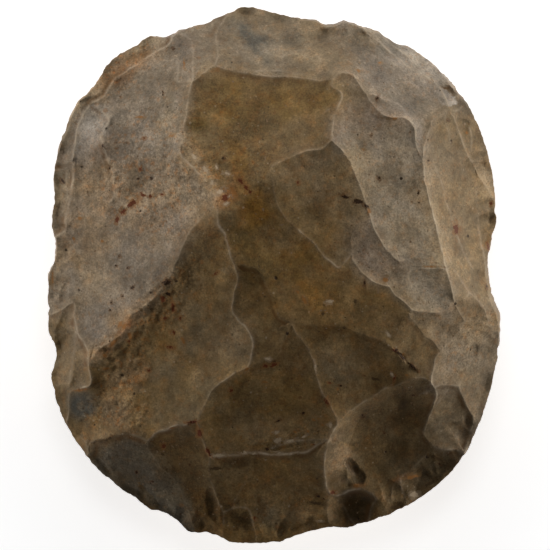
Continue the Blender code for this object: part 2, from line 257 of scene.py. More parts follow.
    ("tongue", "lower middle", 0.6, 0, (-11, -23.3), (-9, -21.9), (-7.3, -20.9), (-5.6, -20.4)),
    ("lower middle", "bottom left", 0.3, 0.15, (-16.8, -32.3), (-16.1, -35), (-15, -38), (-13.9, -40.5)),
    ("bottom left", "heel", 0.15, 0, (-28, -36.6), (-27.3, -38.8), (-25.5, -42), (-22.3, -45.2),
     (-20.3, -48.5), (-19.2, -51.5), (-18, -55)),
    ("bottom", "bottom left", 0.2, 0, (-13.9, -40.5), (-13.9, -43.5), (-13.4, -46.3), (-12.2, -49.5),
     (-11.4, -53), (-11, -58)),
    ("lower middle", "bottom", 1, 0.35, (-13.9, -40.5), (-11, -40), (-8, -40.1), (-5, -39.7), (-2, -39.7),
     (0, -39.9), (4, -39.6), (7.5, -38.9), (10.3, -37.4), (12.4, -36.7)),
)

# Lines inside one scar: how far the skin stands up along them, how pale their crest is (partly wear,
# partly painted highlight), and their points
CREASES = (
    (0.25, 0.7, (-43, 39.5), (-44.5, 37), (-45.5, 34), (-46.8, 30.5)),
    (0.12, 0.5, (-20.8, 47), (-21.3, 43.7), (-18.5, 43.3)),
    (0.15, 0.5, (-10, 46.8), (-5, 45.5), (0, 45.3), (4, 45.1), (9, 44.8)),
    (0.35, 0.9, (22.5, 39.9), (25.5, 38.8), (27.5, 38), (29, 36.7), (29.7, 35)),
    (0.2, 0.4, (39.2, 37.6), (38.3, 34.8), (38.8, 33), (39.8, 29.5)),
    (0.3, 0.6, (39.6, 37), (40.9, 36.6), (42, 37.6)),
    (0.25, 0.6, (38.8, 4), (41, 0.5), (43.3, -3.5), (46.5, -6.3), (48.3, -10)),
    (0.2, 0.5, (45, 24), (45.3, 18), (45.6, 11.3), (46.8, 5.7), (47.6, -0.5)),
    (0.15, 0.4, (36, 25), (37.6, 20.5), (38.9, 15.5), (40.6, 10), (42.6, 4.5), (44.5, 1)),
    (0.2, 0.5, (40.1, -7.2), (42.5, -5.2), (44.6, -3.8), (47.4, -8.8)),
    (0.15, 0.4, (33, 1.3), (36, 1.6), (39, 1.8)),
    (0.2, 0.4, (43.8, 33), (44.4, 30.5), (44.1, 28)),
    (0.15, 0.9, (0, -38.4), (3, -37.4), (7, -36.5), (12, -36.6)),
    (0.3, 0.1, (14.5, -50), (16.2, -52.2), (18, -55.5)),
    (0.35, 0.3, (-11.4, -53), (-9.2, -52.4), (-6, -52.2), (-4.9, -54), (-4, -58.5)),
    (0.15, 0.1, (-9.2, -52.4), (-8, -49.5), (-6, -45.5), (-5.2, -40.5)),
    (-0.15, 0, (-3.3, -51), (-4, -46), (-4.3, -41)),
    (0.2, 0.3, (12.5, 36.5), (11.3, 35.8), (11, 35)),
    (0.2, 0.1, (2.5, -55.3), (1.8, -57), (0.8, -57.8)),
    (0.3, 0.6, (28.5, -45.4), (29.2, -48), (29.8, -51)),
    (0.25, 0.3, (27.4, -46.3), (26.6, -49), (26.4, -51)),
    (0.2, 0.5, (39, -25.8), (37.8, -27.3), (36.3, -29.5)),
    (0.25, 0.3, (-50, -6.2), (-47.5, -5.9), (-47.6, -8)),
    (0.2, 0.4, (-44, -12.5), (-44, -16), (-44.8, -20), (-45.6, -25)),
    (0.2, 0.4, (-46, 23), (-45.9, 18.5), (-46.6, 14)),
    (-0.3, 0, (-43, -35.2), (-41.5, -35.7), (-40.1, -36.9)),
    (0.3, 0.5, (-41.5, -37.3), (-41.2, -39.8)),
    (-0.12, 0, (-48, 22.3), (-47, 20.6)),
    (-0.15, 0, (27, -16.5), (28.6, -18), (30, -19.5), (32, -20.9)),
    (-0.55, 0, (19.5, -31.8), (17.6, -35), (16.5, -38.5), (16.1, -42), (16.2, -45), (16.6, -46.8)),
    (0.3, 0.6, (20.7, 55.3), (22.3, 52), (25, 48.8), (28.5, 46.2)),
    (0.25, 0.5, (22.3, 55), (26, 51.8), (29.5, 49.4), (32.6, 46.6)),
    (0.25, 0.4, (-2, 50), (2, 48.6), (7, 50.5), (10.5, 48.3), (9.5, 46)),
    (-0.25, 0, (-8.5, 53.5), (-5, 51), (-2.5, 47.5)),
)

# Junctions in a ring underneath: bearing, share of the way out to the edge, and depth. A scar runs out
# to the edge between each two of them, and one runs in to the resting facet at every second one
UNDER_JUNCTIONS = (
    (4, 0.66, 12.2), (36, 0.60, 13.6), (68, 0.67, 11.8), (97, 0.62, 13.0), (132, 0.69, 11.2),
    (163, 0.62, 13.4), (196, 0.68, 11.6), (226, 0.61, 13.2), (258, 0.68, 11.6), (292, 0.61, 13.4),
    (326, 0.67, 12.0),
)
# Their hollows and patinas, taken in turn, and the height of their third point, on the edge. For those
# that run in to the facet: how far out they meet it, and their hollow
UNDER_HOLLOWS = (150, 95, 220)
UNDER_PATINAS = ("buff", "tan", "grey", "brown")
UNDER_RIM = -0.2
REST_SHARES = (0.34, 0.24, 0.30)
REST_HOLLOW = 130

# ------------------------------------------------------------------ relief on the scars

# The mesh: rings of points from the middle of each face to the edge, how many more points each ring
# has, how far out the last ones lie, and how high a face stands at least short of the edge
FACE_RINGS = 160
UNDER_RINGS = 80
SECTORS = 6
LAST_RING = 0.998
UNDER_RING = 0.985
THINNEST = 0.02
# Edges of the mesh are shaded as sharp ones from this angle on, in degrees
SHARP_ANGLE = 9

# The skin of the upper face is worked out on a square grid of this spacing that reaches so far past the
# edge, held to the ridges by this stiffness, in so many rounds
GRID = 0.2
GRID_MARGIN = 2
HOLD = 12
ROUNDS = 650

# The drawn lines: how far apart their points are, how they wander, and how far away they are felt
CURVE_STEP = 0.25
RIDGE_WANDER = ((6, 0.35), (2, 0.2), (0.9, 0.08))
LINE_REACH = 6
# A point of the mesh this near to a line is moved onto it, up to this share of the way out
SNAP = 0.15
LAST_SNAP = 0.985
# Ridges meet if their ends are this near, and bend to each other over so many points. None of them
# stands farther above the lowest scar than this
MEETING = 0.5
END_BEND = 30
HIGHEST_CREST = 0.5
# Height and width of the swelling along the palest lines, and how soon a drop beside a line is there
# and how far it reaches
CREST = (0.12, 0.6)
DROP_WIDTH = 0.2
DROP_REACH = 3

# How far the ridges underneath are worn down: the surface is the mean over discs of points of this radius
WORN = 0.45
WORN_RINGS = ((0, 1), (0.5, 6), (1, 12))

# The skin rolls, as the cells and heights of its noises say. Underneath, each scar rolls by itself, so
# that the ridges between them wander
ROLL = ((12, 0.34), (5, 0.18), (2.4, 0.07))
# Ripples in the scars: their height and length, and how far from a ridge they are at full height
RIPPLE_HEIGHT = 0.06
RIPPLE_LENGTH = 4.5
RIPPLE_FADE = 2.5

# Roughness of the whole skin: size of the bumps and their height, and how soon inside the edge all the
# fine relief is there in full
GRAIN = ((2.4, 0.035), (1.0, 0.028))
RELIEF_FADE = 40
# How the edge is nibbled, how it winds up and down, and the power of the share of the way out by which
# each of the two dies out inwards
EDGE_GRAIN = ((3.2, 0.26), (1.3, 0.22), (0.6, 0.10))
GRAIN_FADE = 12
EDGE_WAVE = ((14, 0.55), (6, 0.2))
WAVE_FADE = 8

# Granular places: X, Y, length, width, turn in degrees and strength
ROUGH_PATCHES = (
    (-15.5, 23, 15, 4.5, -52, 1.0),
    (-25, 22, 26, 20, -20, 0.9),
    (-28, -10, 26, 7, 50, 1.0),
    (-35, -27, 10, 20, -8, 1.0),
    (-6, 30, 16, 6, -60, 0.5),
    (-36, 45, 20, 7, 45, 1.0),
    (5, -36.5, 12, 3, 12, 0.9),
    (-5, -53, 26, 8, 0, 0.5),
    (30, -52, 14, 5, 15, 0.7),
    (44, -14, 10, 8, 60, 0.5),
)
UNDER_ROUGH_PATCHES = (
    (10, 12, 40, 24, 30, 0.7), (-24, -20, 30, 18, -40, 0.8), (30, -30, 22, 14, 60, 0.6),
)
# How ragged their outlines are, how full they are at the middle and how fast that falls on the way
# out, and their bumps
PATCH_WOBBLE = ((6, 0.45), (2.5, 0.3))
PATCH_FALL = (1.4, 0.8)
ROUGH_GRAIN = ((3.4, 0.07), (1.6, 0.14), (0.8, 0.13))

# Small flakes and pits: X, Y, length, width, turn in degrees, depth, and how much darker they are
SMALL_FLAKES = (
    (17.4, -42.5, 4.2, 2.2, -64, 0.55, 0.6),
    (18.9, -44.8, 4.2, 3.0, -50, 0.55, 0.6),
    (27, -52, 4.4, 2.2, 20, 0.5, 0.35),
    (18.5, -50.1, 8.6, 4.2, -8, 0.35, 0.4),
    (20.9, -52, 6.5, 3.8, 58, 0.35, 0.42),
    (17.2, -53.2, 5.5, 3, -62, 0.35, 0.36),
    (13.7, -53, 5, 4.5, -20, 0.35, 0),
    (-9.2, -54, 8, 4.6, -62, 0.4, 0.36),
    (-6.2, -55, 6.4, 4, -84, 0.4, 0.38),
    (-13.6, -50.7, 9, 3.4, 97, 0.6, 0.38),
    (-1.5, -56, 4.5, 6, 10, 0.4, 0),
    (2, -56.5, 2, 4.5, -25, 0.45, 0.3),
    (8.7, -55.3, 2.6, 3, 15, 0.5, 0.35),
    (-30.5, -49, 7, 2.5, -38, 0.4, 0.1),
    (-24, -52, 6, 2.5, -30, 0.4, 0.1),
    (-37.5, -43, 5, 2, -50, 0.4, 0.1),
    (-37, 22, 10, 3, 80, 0.2, 0),
    (-46.5, -4, 6, 2.4, 80, 0.4, 0.1),
    (-47, -13, 9, 3, 80, 0.4, 0.1),
    (-43, -22, 7, 3, 85, 0.4, 0.15),
    (-12, -32, 5, 4, 30, 0.2, 0),
    (4, -38, 9, 1.4, 10, 0.2, 0),
    (19, 41, 5, 3.5, 40, 0.25, 0.1),
    (24, 37, 4, 3, 0, 0.25, 0),
    (36, -12, 4, 3, 60, 0.25, 0),
    (44.5, -17, 5, 3, 70, 0.5, 0.15),
    (47.5, -24, 6, 3, 80, 0.5, 0.2),
    (46, -31, 5, 2.2, 75, 0.25, 0.15),
    (41.5, -39.5, 6, 2.4, -50, 0.25, 0.15),
    (34.5, -45.5, 9, 3.6, 45, 0.4, 0.2),
    (-47.6, 21, 5, 2.6, -60, 0.6, 0.15),
    (-47, 13, 7, 2.4, 85, 0.35, 0.12),
    (46, 31, 6, 3, 80, 0.4, 0.2),
    (43, 37.5, 5, 3, -50, 0.4, 0.25),
    (-36, 46.2, 7, 3, 40, 0.35, 0.05),
    (-41, 40.5, 6, 2.4, 55, 0.3, 0.05),
    (-30, 48.5, 5, 3, 25, 0.4, 0.1),
)
UNDER_FLAKES = (
    (38, 20, 8, 5, 30, 0.4, 0.2), (-36, 26, 9, 5, 140, 0.5, 0.2), (-30, -38, 8, 5, 50, 0.4, 0.2),
    (22, -45, 8, 5, 110, 0.4, 0.2),
)
# How ragged the outlines of small flakes are, and how soon inside them the stone is darker
FLAKE_JAG = ((5, 0.35), (2, 0.18))
FLAKE_RIM = 0.1

# Nibbles round the working edge: how many, their lengths, how wide for their length, how deep, how far
# out they lie, how far they turn aside in degrees, how much darker the largest are, and the power that
# keeps most of them small
NIBBLES = 220
NIBBLE_LENGTH = (1.0, 8)
NIBBLE_WIDTH = (0.45, 0.9)
NIBBLE_DEPTH = (0.06, 0.55)
NIBBLE_SHARE = (0.92, 1.0)
NIBBLE_TURN = 25
NIBBLE_DARK = 0.12
NIBBLE_SMALL = 2.5

# The seeds of the noises: each face's own, how far apart those of its scars and those of a noise's
# layers are, and what is added for the grain, the granular grain, the fading of ridges and the ripples
UPPER_SEED = 1000
UNDER_SEED = 9000
SCAR_SEEDS = 100
LAYER_SEEDS = 17
GRAIN_SEED = 7
ROUGH_GRAIN_SEED = 8
RIDGE_SEED = 9
RIPPLE_SEED = 50
# The other seeds
EDGE_GRAIN_SEED = 5
EDGE_WAVE_SEED = 6
NIBBLE_SEED = 7
WANDER_SEEDS = (31, 32)
PATCH_SEED = 61
STAIN_AND_SHADE_SEED = 71
FLAKE_SEED = 81

# ------------------------------------------------------------------ patina, stains, painted shade and specks

# Linear colours
PATINAS = {
    "ash": (0.34, 0.295, 0.245),
    "sand": (0.285, 0.228, 0.16),
    "grey": (0.22, 0.177, 0.133),
    "cream": (0.32, 0.24, 0.155),
    "buff": (0.265, 0.20, 0.14),
    "drab": (0.197, 0.15, 0.098),
    "tan": (0.215, 0.152, 0.084),
    "brown": (0.195, 0.127, 0.057),
    "dun": (0.15, 0.103, 0.052),
    "umber": (0.11, 0.068, 0.028),
    "slate": (0.098, 0.08, 0.058),
}
BLANK_PATINA = "brown"
FACET_PATINA = "tan"
STAIN_AND_SHADE_COLOURS = {
    "pale": (0.40, 0.30, 0.19),
    "slate": (0.088, 0.082, 0.066),
    "tawny": (0.33, 0.225, 0.125),
    "moss": (0.19, 0.152, 0.098),
    "ochre": (0.22, 0.11, 0.02),
    "olive": (0.11, 0.072, 0.022),
    # Painted shade
    "umber": (0.055, 0.034, 0.013),
    "orange": (0.36, 0.125, 0.028),
}

# Soft patches of colour: X, Y, length, width, turn in degrees and strength. The umber ones are painted
# shade where the stone lies in shade; the others are stains
STAINS_AND_PAINTED_SHADE = {
    "slate": (
        (-4.5, 52, 13, 4.5, -45, 0.9), (5, 53, 6, 4, 0, 0.4), (15, 55, 9, 3, -10, 0.25),
        (28, 41, 8, 5, 0, 0.3), (32, 38, 6, 4, 20, 0.3), (24, 28, 5, 8, 60, 0.25),
        (22, 52, 14, 4, -25, 0.5), (43, 35, 8, 7, -55, 0.3), (-41.5, -29.5, 8, 7, 20, 1.0),
        (-36, 35, 6, 4, 0, 0.3), (-27, -50.5, 7, 2.5, -40, 0.5),
    ),
    # Painted shade: below the apex, round the spur, under steps and in the bowl's upper right
    "umber": (
        (31, -31, 8, 13, -20, 0.9), (24, -38, 11, 8, -40, 0.45), (-14.5, 7, 17, 8, 58, 0.6),
        (-7, 11, 9, 5, 70, 0.3), (12, -9, 8, 14, -10, 0.35), (-2, -16, 9, 7, 30, 0.3),
        (-34, -45.5, 10, 4, -45, 0.45), (-9.5, -54, 9, 7, 0, 0.35), (35.5, -22.5, 8, 6, -60, 0.4),
        (35.5, -40.5, 5, 4, 0, 0.3), (-12, -9, 5, 7, 0, 0.35), (33, -44, 9, 4, 45, 0.2),
        (20, -33.5, 12, 5, 35, 0.3), (-8.5, -42, 8, 2, 5, 0.5), (-7, -24.5, 2, 8, -30, 0.4),
    ),
    "olive": (
        (-17, 33.5, 5, 2.5, 0, 0.8), (-8, 37, 22, 10, 0, 0.5), (10, 40, 18, 8, 0, 0.4),
        (-5, 5, 16, 8, -60, 0.6), (-4.5, 15.5, 6, 7, 0, 0.6), (8, 10, 10, 20, 30, 0.4),
        (6, 0, 10, 6, -30, 0.4), (0, -28, 20, 14, 0, 0.3),
    ),
    "ochre": (
        (-4, 16, 6, 9, 0, 0.9), (-8, 27, 4, 13, 30, 0.6), (8, -3, 12, 4, -60, 0.3),
        (9, 12, 9, 20, 25, 0.15), (4, 0, 26, 14, -55, 0.12), (-40, 6, 10, 12, 0, 0.2),
    ),
    "moss": (
        (-21, -26, 16, 14, 0, 0.6), (-6, -33, 12, 6, 0, 0.4), (-17, -10, 6, 12, 0, 0.3),
        (14, -20, 12, 8, -30, 0.3), (-2, -54, 5, 7, 0, 0.5), (-20, -50, 3, 9, 20, 0.5),
        (13.5, -52.5, 4, 5, 0, 0.15), (-28, -40.5, 8, 4, -20, 0.5), (-23, 33, 16, 6, 80, 0.35),
        (18.5, 29, 9, 5, -55, 0.4), (-23, -51, 6, 4, -50, 0.5),
    ),
    "tawny": (
        (-35, -27, 9, 18, -8, 0.75), (-34, -12, 16, 6, 50, 0.6), (-27, 18, 26, 18, -20, 0.35),
        (-15, 22, 16, 5, -52, 0.4), (14.2, -42.5, 4.5, 14, -4, 0.75), (-33, -21, 9, 8, 0, 0.5),
        (1, -33.5, 16, 5, 0, 0.35), (6.5, -53.5, 6, 7, 0, 0.35), (25, -9.5, 8, 4, -40, 0.45),
    ),
    "pale": (
        (-15.5, 23, 14, 3, -52, 0.35), (-10.8, 17.6, 3.5, 2.5, 0, 0.5), (4, 49, 13, 3, -10, 0.35),
        (10, 47.5, 8, 3, -50, 0.3), (-38, 2, 12, 8, 60, 0.3), (36, 10, 6, 26, 5, 0.3),
        (-47.3, 18, 3, 6, 0, 0.4), (-40, 20, 14, 8, 80, 0.25), (45, -13, 11, 8, 60, 0.2),
        (28, 26, 17, 7, -60, 0.35), (-39, 42, 11, 3.5, 48, 0.4), (16, 54, 12, 5, -12, 0.35),
        (-48, 2, 17, 4.5, 90, 0.4), (48, 20, 18, 4, 98, 0.35), (42, -38, 5, 4, 60, 0.4),
    ),
    "orange": (
        (-10, 17, 5, 4, 20, 0.4), (-34, 46, 15, 5, 35, 0.2), (29, -45, 5, 1.2, 20, 0.25),
        (18.6, -46.8, 3.4, 1.1, 5, 0.4), (-33.5, -12.5, 11, 2.6, 50, 0.35),
    ),
}

# Small spots with ragged outlines: X, Y, length, width and turn in degrees
SPOTS = {
    "rust": (
        (-10.5, 17.3, 2.2, 1.6, 40), (-7.3, 21, 2.2, 1, -50), (-6, 19.5, 1.4, 0.9, -40),
        (-5, 18.5, 1.2, 0.8, 0), (-31.3, 16, 3.2, 1.3, 40), (-33.3, 14.2, 2, 1, 50),
        (-34.7, 12.3, 1.6, 0.9, 70), (-29, 18, 1.6, 0.8, -30), (-27.2, 17.6, 1, 1, 0),
        (-24.5, 18, 0.9, 0.7, 0), (-28.5, 30.5, 1, 0.8, 0), (-29.5, 23.5, 0.8, 1.2, 0),
        (40.8, 10.5, 1.2, 2.8, 0), (-22.2, -7, 0.8, 2.6, 5), (-24.5, -5.3, 1, 1.6, 0),
        (-24, -9.5, 1, 0.8, 0), (-22, -12.7, 1, 1, 0), (-22.8, -16, 2, 0.9, 0), (0.2, -19.8, 2, 0.9, 20),
        (-1.6, -20.1, 1.3, 0.9, 0), (11.9, -28, 1.1, 1.8, 20), (12.6, -23.9, 1, 0.5, 0),
        (-16.3, -35, 1.3, 1.8, 15), (-14.4, -39.2, 0.8, 2.6, 30), (-17.9, -32.6, 3, 0.8, 5),
        (27.2, -16.7, 1.4, 1, 0), (5.6, 20.6, 0.9, 0.8, 0), (-4, -54.2, 0.7, 0.9, 0),
        (13.3, -48.4, 1.2, 0.9, 0), (9, -37.6, 0.8, 0.5, 0), (-7.2, -36.1, 0.6, 0.5, 0),
        (26.9, -23, 0.6, 1.8, -10), (-24.3, -38, 1.4, 1, 0), (-27.6, -21.1, 0.9, 0.8, 0),
        (-32, -14.5, 1.2, 0.7, 0), (-12.6, 0.5, 1.8, 0.6, 35), (-20.6, -9.5, 0.6, 1, 0),
        (48, 6.5, 0.7, 2, 10), (48.7, 16.2, 0.8, 1, 0), (-9.3, -25.6, 0.9, 1.2, 0),
    ),
    "orange": (
        (-8.8, 18.7, 3.5, 1, -50), (-20, -14.5, 1.1, 1.6, 20), (-33, -11.3, 1.8, 0.9, 50),
        (7, -5.5, 0.9, 2.6, 25), (5.5, -3.7, 1.6, 0.7, -40), (-5.8, -20.8, 1.2, 0.7, 30),
        (9, -32.1, 1, 0.7, 0), (10.2, -31.8, 0.8, 0.6, 0), (25, -1, 1.4, 1.1, 0), (35, 2, 4, 0.4, 0),
        (14.4, -25.2, 0.7, 1, 0), (4.9, -34.7, 1, 0.8, 0), (7.8, -34.6, 0.9, 0.6, 0),
        (18.7, -46.9, 1.6, 0.7, 0), (29.7, -22.2, 1.2, 0.5, 0), (-43, 12.7, 1.2, 0.8, 0),
        (-44.4, 8.2, 0.8, 0.8, 0), (-38, 7.7, 0.8, 0.8, 0), (43.3, 31.8, 0.8, 1, 0),
        (19, 45.5, 1, 0.7, 0), (20, 28, 0.8, 0.6, 0), (23.8, 47.4, 1, 0.6, 0), (27, 34.9, 3, 0.5, 0),
        (-22.3, -33.9, 3, 0.5, 12), (-42.8, -25.5, 4, 0.7, 8), (31, -45, 4, 0.9, 15),
        (21.3, 14.3, 0.9, 1.2, 0), (-2, -23.6, 2, 0.5, -10), (29, -17.5, 1, 0.8, 0),
        (11, -33.2, 0.9, 0.6, 0), (-37, -20.8, 1.6, 0.8, 0), (-38.2, -24.6, 0.5, 1.4, 0),
        (-49.2, -0.5, 0.6, 3, 0), (-34, -10.8, 1.8, 1.1, 60), (-31.8, -13.4, 1.2, 2, 10),
        (-35.5, -15, 2.4, 1, 50), (-37.3, -17.8, 1.1, 1.6, 0), (-19.8, 47.2, 0.6, 2, 5),
        (-22.5, 31, 1.6, 0.6, 20), (-29.5, 35.2, 2.4, 0.6, 0),
    ),
    "dark": (
        (16, 17.4, 2.2, 0.8, -15), (18.8, 16.4, 2.8, 1.1, -12), (20.6, 15.4, 1.2, 0.9, -40),
        (-23.6, -1.6, 2, 1.4, 10), (-23.3, -4.1, 1.4, 1, 0), (-11, 26, 1.1, 0.8, 0),
        (-37.9, 28.7, 0.5, 1.8, 15), (-36.4, 24, 0.4, 1, 10), (-46.9, 21, 1.8, 0.7, -50),
        (32.3, 18.3, 0.7, 0.9, 0), (32.4, 16.2, 0.6, 0.6, 0), (23.5, 21.6, 0.7, 0.9, 0),
        (21.8, 31, 0.6, 0.6, 0), (34.6, 25.5, 0.6, 0.6, 0), (38.9, 34.5, 0.6, 0.6, 0),
        (20.3, -1.6, 0.5, 1.3, 0), (15, -24.5, 0.8, 0.6, 0), (14.5, -25.9, 0.6, 0.5, 0),
        (23.1, 39.3, 1, 0.8, 0), (39.7, 30, 0.6, 0.8, 0), (17.8, -43, 2.4, 1.3, -60),
        (1.2, -32.3, 1.3, 0.5, 20), (28.4, -17.7, 3.4, 0.8, -45), (31, -20.2, 3.4, 0.7, -38),
        (10, -49.2, 1.2, 0.6, 0), (11.4, -49.8, 0.8, 0.4, 0), (-38.5, -37.1, 2.2, 0.5, 5),
        (-36.6, -36.3, 1.8, 0.5, 40), (-35, 8.5, 0.6, 0.6, 0), (-34.2, 4.3, 0.6, 0.6, 0),
        (-34.9, 2.2, 0.6, 0.6, 0), (-32.3, 1.7, 0.6, 0.6, 0), (-31.3, -2.7, 1.1, 1, 0),
        (-33.4, -4.7, 0.6, 0.6, 0), (-36, -6, 0.6, 0.6, 0), (-36.2, -7.7, 0.6, 0.6, 0),
        (-11, 18.7, 0.8, 0.6, 0), (10, 18.6, 0.6, 0.6, 0), (20.2, -22.2, 0.6, 0.5, 0),
        (6, -27.1, 0.6, 0.5, 0), (6.7, -30.6, 0.8, 0.6, 0), (-1.3, -38.7, 0.9, 0.8, 0),
        (0.3, -19, 0.8, 0.6, 0), (27.5, -16.5, 0.8, 0.7, 0), (-18.5, -42.2, 0.6, 0.6, 0),
        (-18.2, -44.1, 0.5, 0.5, 0), (-30.4, -43.9, 0.6, 0.7, 0), (-26.8, -46, 0.7, 0.6, 0),
        (31.2, -26.6, 1, 0.5, 0), (20.1, -31.2, 0.9, 0.9, 0), (24.8, -35, 0.4, 0.8, 0),
        (37, -42, 1.4, 0.5, -30), (47.6, -2.5, 0.6, 1.2, 0), (-24.5, 40.5, 0.5, 1.4, 15),
        (-22.2, 50.5, 0.8, 0.6, 0), (-30, 21.5, 0.8, 0.6, 0),
    ),
    "brown": (
        (18.4, -43.7, 3.6, 1.8, -58), (-38.6, -36.9, 5, 0.8, 12), (36.5, -40.8, 4, 0.9, -25),
        (27.5, -51.7, 4, 1.2, 10), (-13, -43, 4, 0.8, 0), (9.5, -50.8, 5, 0.8, -10),
        (-37.5, -16.5, 1.4, 1, 0), (-36.5, -18.5, 1, 1, 0), (-29.3, -7.7, 1, 1.2, 0),
        (-27, -7.5, 0.9, 0.9, 0), (18.3, -5.7, 1, 0.8, 0), (11, -8.6, 0.8, 0.8, 0),
        (15.8, -11.6, 0.9, 0.8, 0), (35, -46.5, 4, 0.8, 25), (-23.6, -43.3, 0.8, 0.7, 0),
        (-24.5, -39.8, 0.9, 0.7, 0), (-5, -45.3, 1, 0.7, 0), (22.7, -23, 3, 0.7, -10),
    ),
    "pale": (
        (-11.8, 18.6, 1.8, 1.2, 30), (-10.3, 15.9, 1.4, 0.9, 20), (-15, 23.5, 2, 1, -40),
        (-17.5, 26.3, 1.6, 0.9, -50), (-9.6, 17.6, 0.8, 0.6, 0), (-1, -18.5, 1.4, 0.8, 0),
        (12.5, -5.7, 1.6, 1, 0), (0.8, -35, 1.2, 0.9, 0), (1, -36.6, 1.6, 1.4, 0), (4, -36.7, 3, 0.6, 10),
        (7, -35.8, 1.8, 0.5, 20), (12.7, -33.3, 0.8, 1.6, 0), (-11.8, -40.1, 2, 0.9, 0),
        (-6.5, -39.4, 1.6, 0.7, 0), (-4, -39.6, 1.6, 0.5, 0), (1.2, -39.5, 1.6, 0.6, 0),
        (4, -39.7, 1, 0.5, 0), (26.4, -22, 0.6, 1.2, 30), (25.5, -13, 1.6, 0.7, -40),
        (10.5, -54.8, 1.6, 0.5, 0), (31.5, -49, 2.4, 1.4, 10), (29, 3.5, 0.7, 0.5, 0),
        (26.8, 1.7, 0.7, 0.5, 0), (9.4, -20.5, 0.5, 2.5, 10), (-13.5, 20.5, 1.4, 1, 50),
        (-10, 22.5, 1.6, 0.8, -20), (-12.5, 24, 0.9, 0.9, 0), (-21.5, 49, 1.6, 0.6, 20),
    ),
}

# How ragged the outlines of the stains and of the painted shade are and how full they are at the middle,
# and how high a spot's field is in its middle and how far it has fallen at its outline
STAIN_AND_SHADE_WOBBLE = ((4, 0.5), (1.5, 0.3))
STAIN_AND_SHADE_MIDDLE = 1.4
SPOT_FIELD = (1.25, 0.5)

# How far from a ridge the patinas of its two scars mix, and how much farther where it is a soft one
PATINA_BLEND = 2.5
SOFTER = 2

# The dark seam at the foot of a drop, partly rust and partly painted shade: how fast it fills with the
# drop, where it lies, its width, its colour and its clouds, which are a noise (size, detail and seed) and
# how its range is spread
SEAM_SHARE = 12
SEAM_PLACE = 0.7
SEAM_WIDTH = 0.5
SEAM_RUST_AND_SHADE_COLOUR = (0.10, 0.045, 0.012, 1)
SEAM_CLOUDS = ((2.5, 3, 7), (0.4, 0.6, 0.2, 0.9))

# Ridges: how wide they are pale, how sharp one is underneath that shows in full, the farthest distance
# across that is kept, and the mean, change and cell of the clouds in which they fade
RIDGE_WIDTH = 0.7
RIDGE_SHARP = 0.15
FARTHEST_ACROSS = 3
RIDGE_CLOUDS = (0.7, 0.5, 6)

# The pale crest on a ridge, partly wear and partly painted highlight: how wide it is and how much of it
# is left beyond, its wiggle and the clouds that wear it, both a noise and a spread, how high it stands and
# its colour
CREST_LINE = 0.4
CREST_LEAST = 0.2
CREST_WIGGLE = ((0.8, 3, 8), (0, 1, -0.15, 0.15))
CREST_CLOUDS = ((2.4, 3, 9), (0.38, 0.62, 0.2, 0.95))
CREST_BUMP = 0.35
CREST_WEAR_AND_HIGHLIGHT_COLOUR = (0.54, 0.43, 0.30, 1)

# Clouds that tint the patina: their size, seed, the noise where they start and end, their strength in
# plain places and how much more in granular ones, and the tint
TINTS = (
    (12, 0, 0.40, 0.60, 0.70, 0, (1.08, 0.95, 0.66, 1)),
    (8, 1, 0.46, 0.62, 0.55, 0, (0.90, 0.95, 0.98, 1)),
    (4.5, 5, 0.48, 0.68, 0.75, 0, (1.22, 1.24, 1.27, 1)),
    (2.6, 2, 0.50, 0.66, 0.60, 0.2, (1.10, 0.88, 0.64, 1)),
    (0.9, 3, 0.54, 0.64, 0.35, 0.45, (1.22, 0.88, 0.62, 1)),
    (0.7, 6, 0.56, 0.66, 0.15, 0.6, (1.32, 1.26, 1.20, 1)),
    (0.6, 9, 0.57, 0.67, 0.25, 0.35, (0.60, 0.50, 0.40, 1)),
)
# Tints larger than this are weaker where the patina isn't warm: the span of its warmth, which is how
# much less blue than red it has, and the least strength
FINE_TINT = 1
WARM_SPAN = (0.35, 0.75)
TINT_LEAST = 0.35
TINT_DETAIL = 4

# Lighter and darker patches: size, detail, seed and depth, in plain places and more in granular ones,
# and the span of the noise that goes from darkest to lightest
TONES = ((14, 2, 12, 0.14, 0), (6, 8, 13, 0.30, 0), (2.4, 5, 17, 0.21, 0.02), (0.8, 4, 14, 0.23, 0.08),
         (0.4, 2, 15, 0.27, 0.08))
TONE_SPAN = (0.3, 0.7)

# Specks: distance between them, size, share of them that show, strength, how deep they dent and colour
SPECKS = (
    (1.9, 0.42, 0.34, 0.70, 0, (0.085, 0.036, 0.013, 1)),
    (3.1, 0.65, 0.28, 0.90, 1.0, (0.026, 0.014, 0.008, 1)),
    (1.7, 0.45, 0.22, 0.45, 0, (0.44, 0.35, 0.24, 1)),
    (4.2, 1.0, 0.24, 0.45, 0, (0.26, 0.115, 0.035, 1)),
    (1.1, 0.32, 0.50, 0.65, 0.5, (0.060, 0.034, 0.018, 1)),
    (1.3, 0.30, 0.35, 0.45, 0, (0.42, 0.33, 0.22, 1)),
)
# For a speck of size 1, how far it is pulled out of shape and its least and largest radius. For all of
# them, how soft their outlines are, and the noise and spread by which they crowd together
SPECK_WARP = 0.8
SPECK_RADII = (0.2, 0.6)
SPECK_BLUR = 0.1
SPECK_CROWDS = ((16, 2, 4), (0.4, 1.4, 0.5, 2.0))

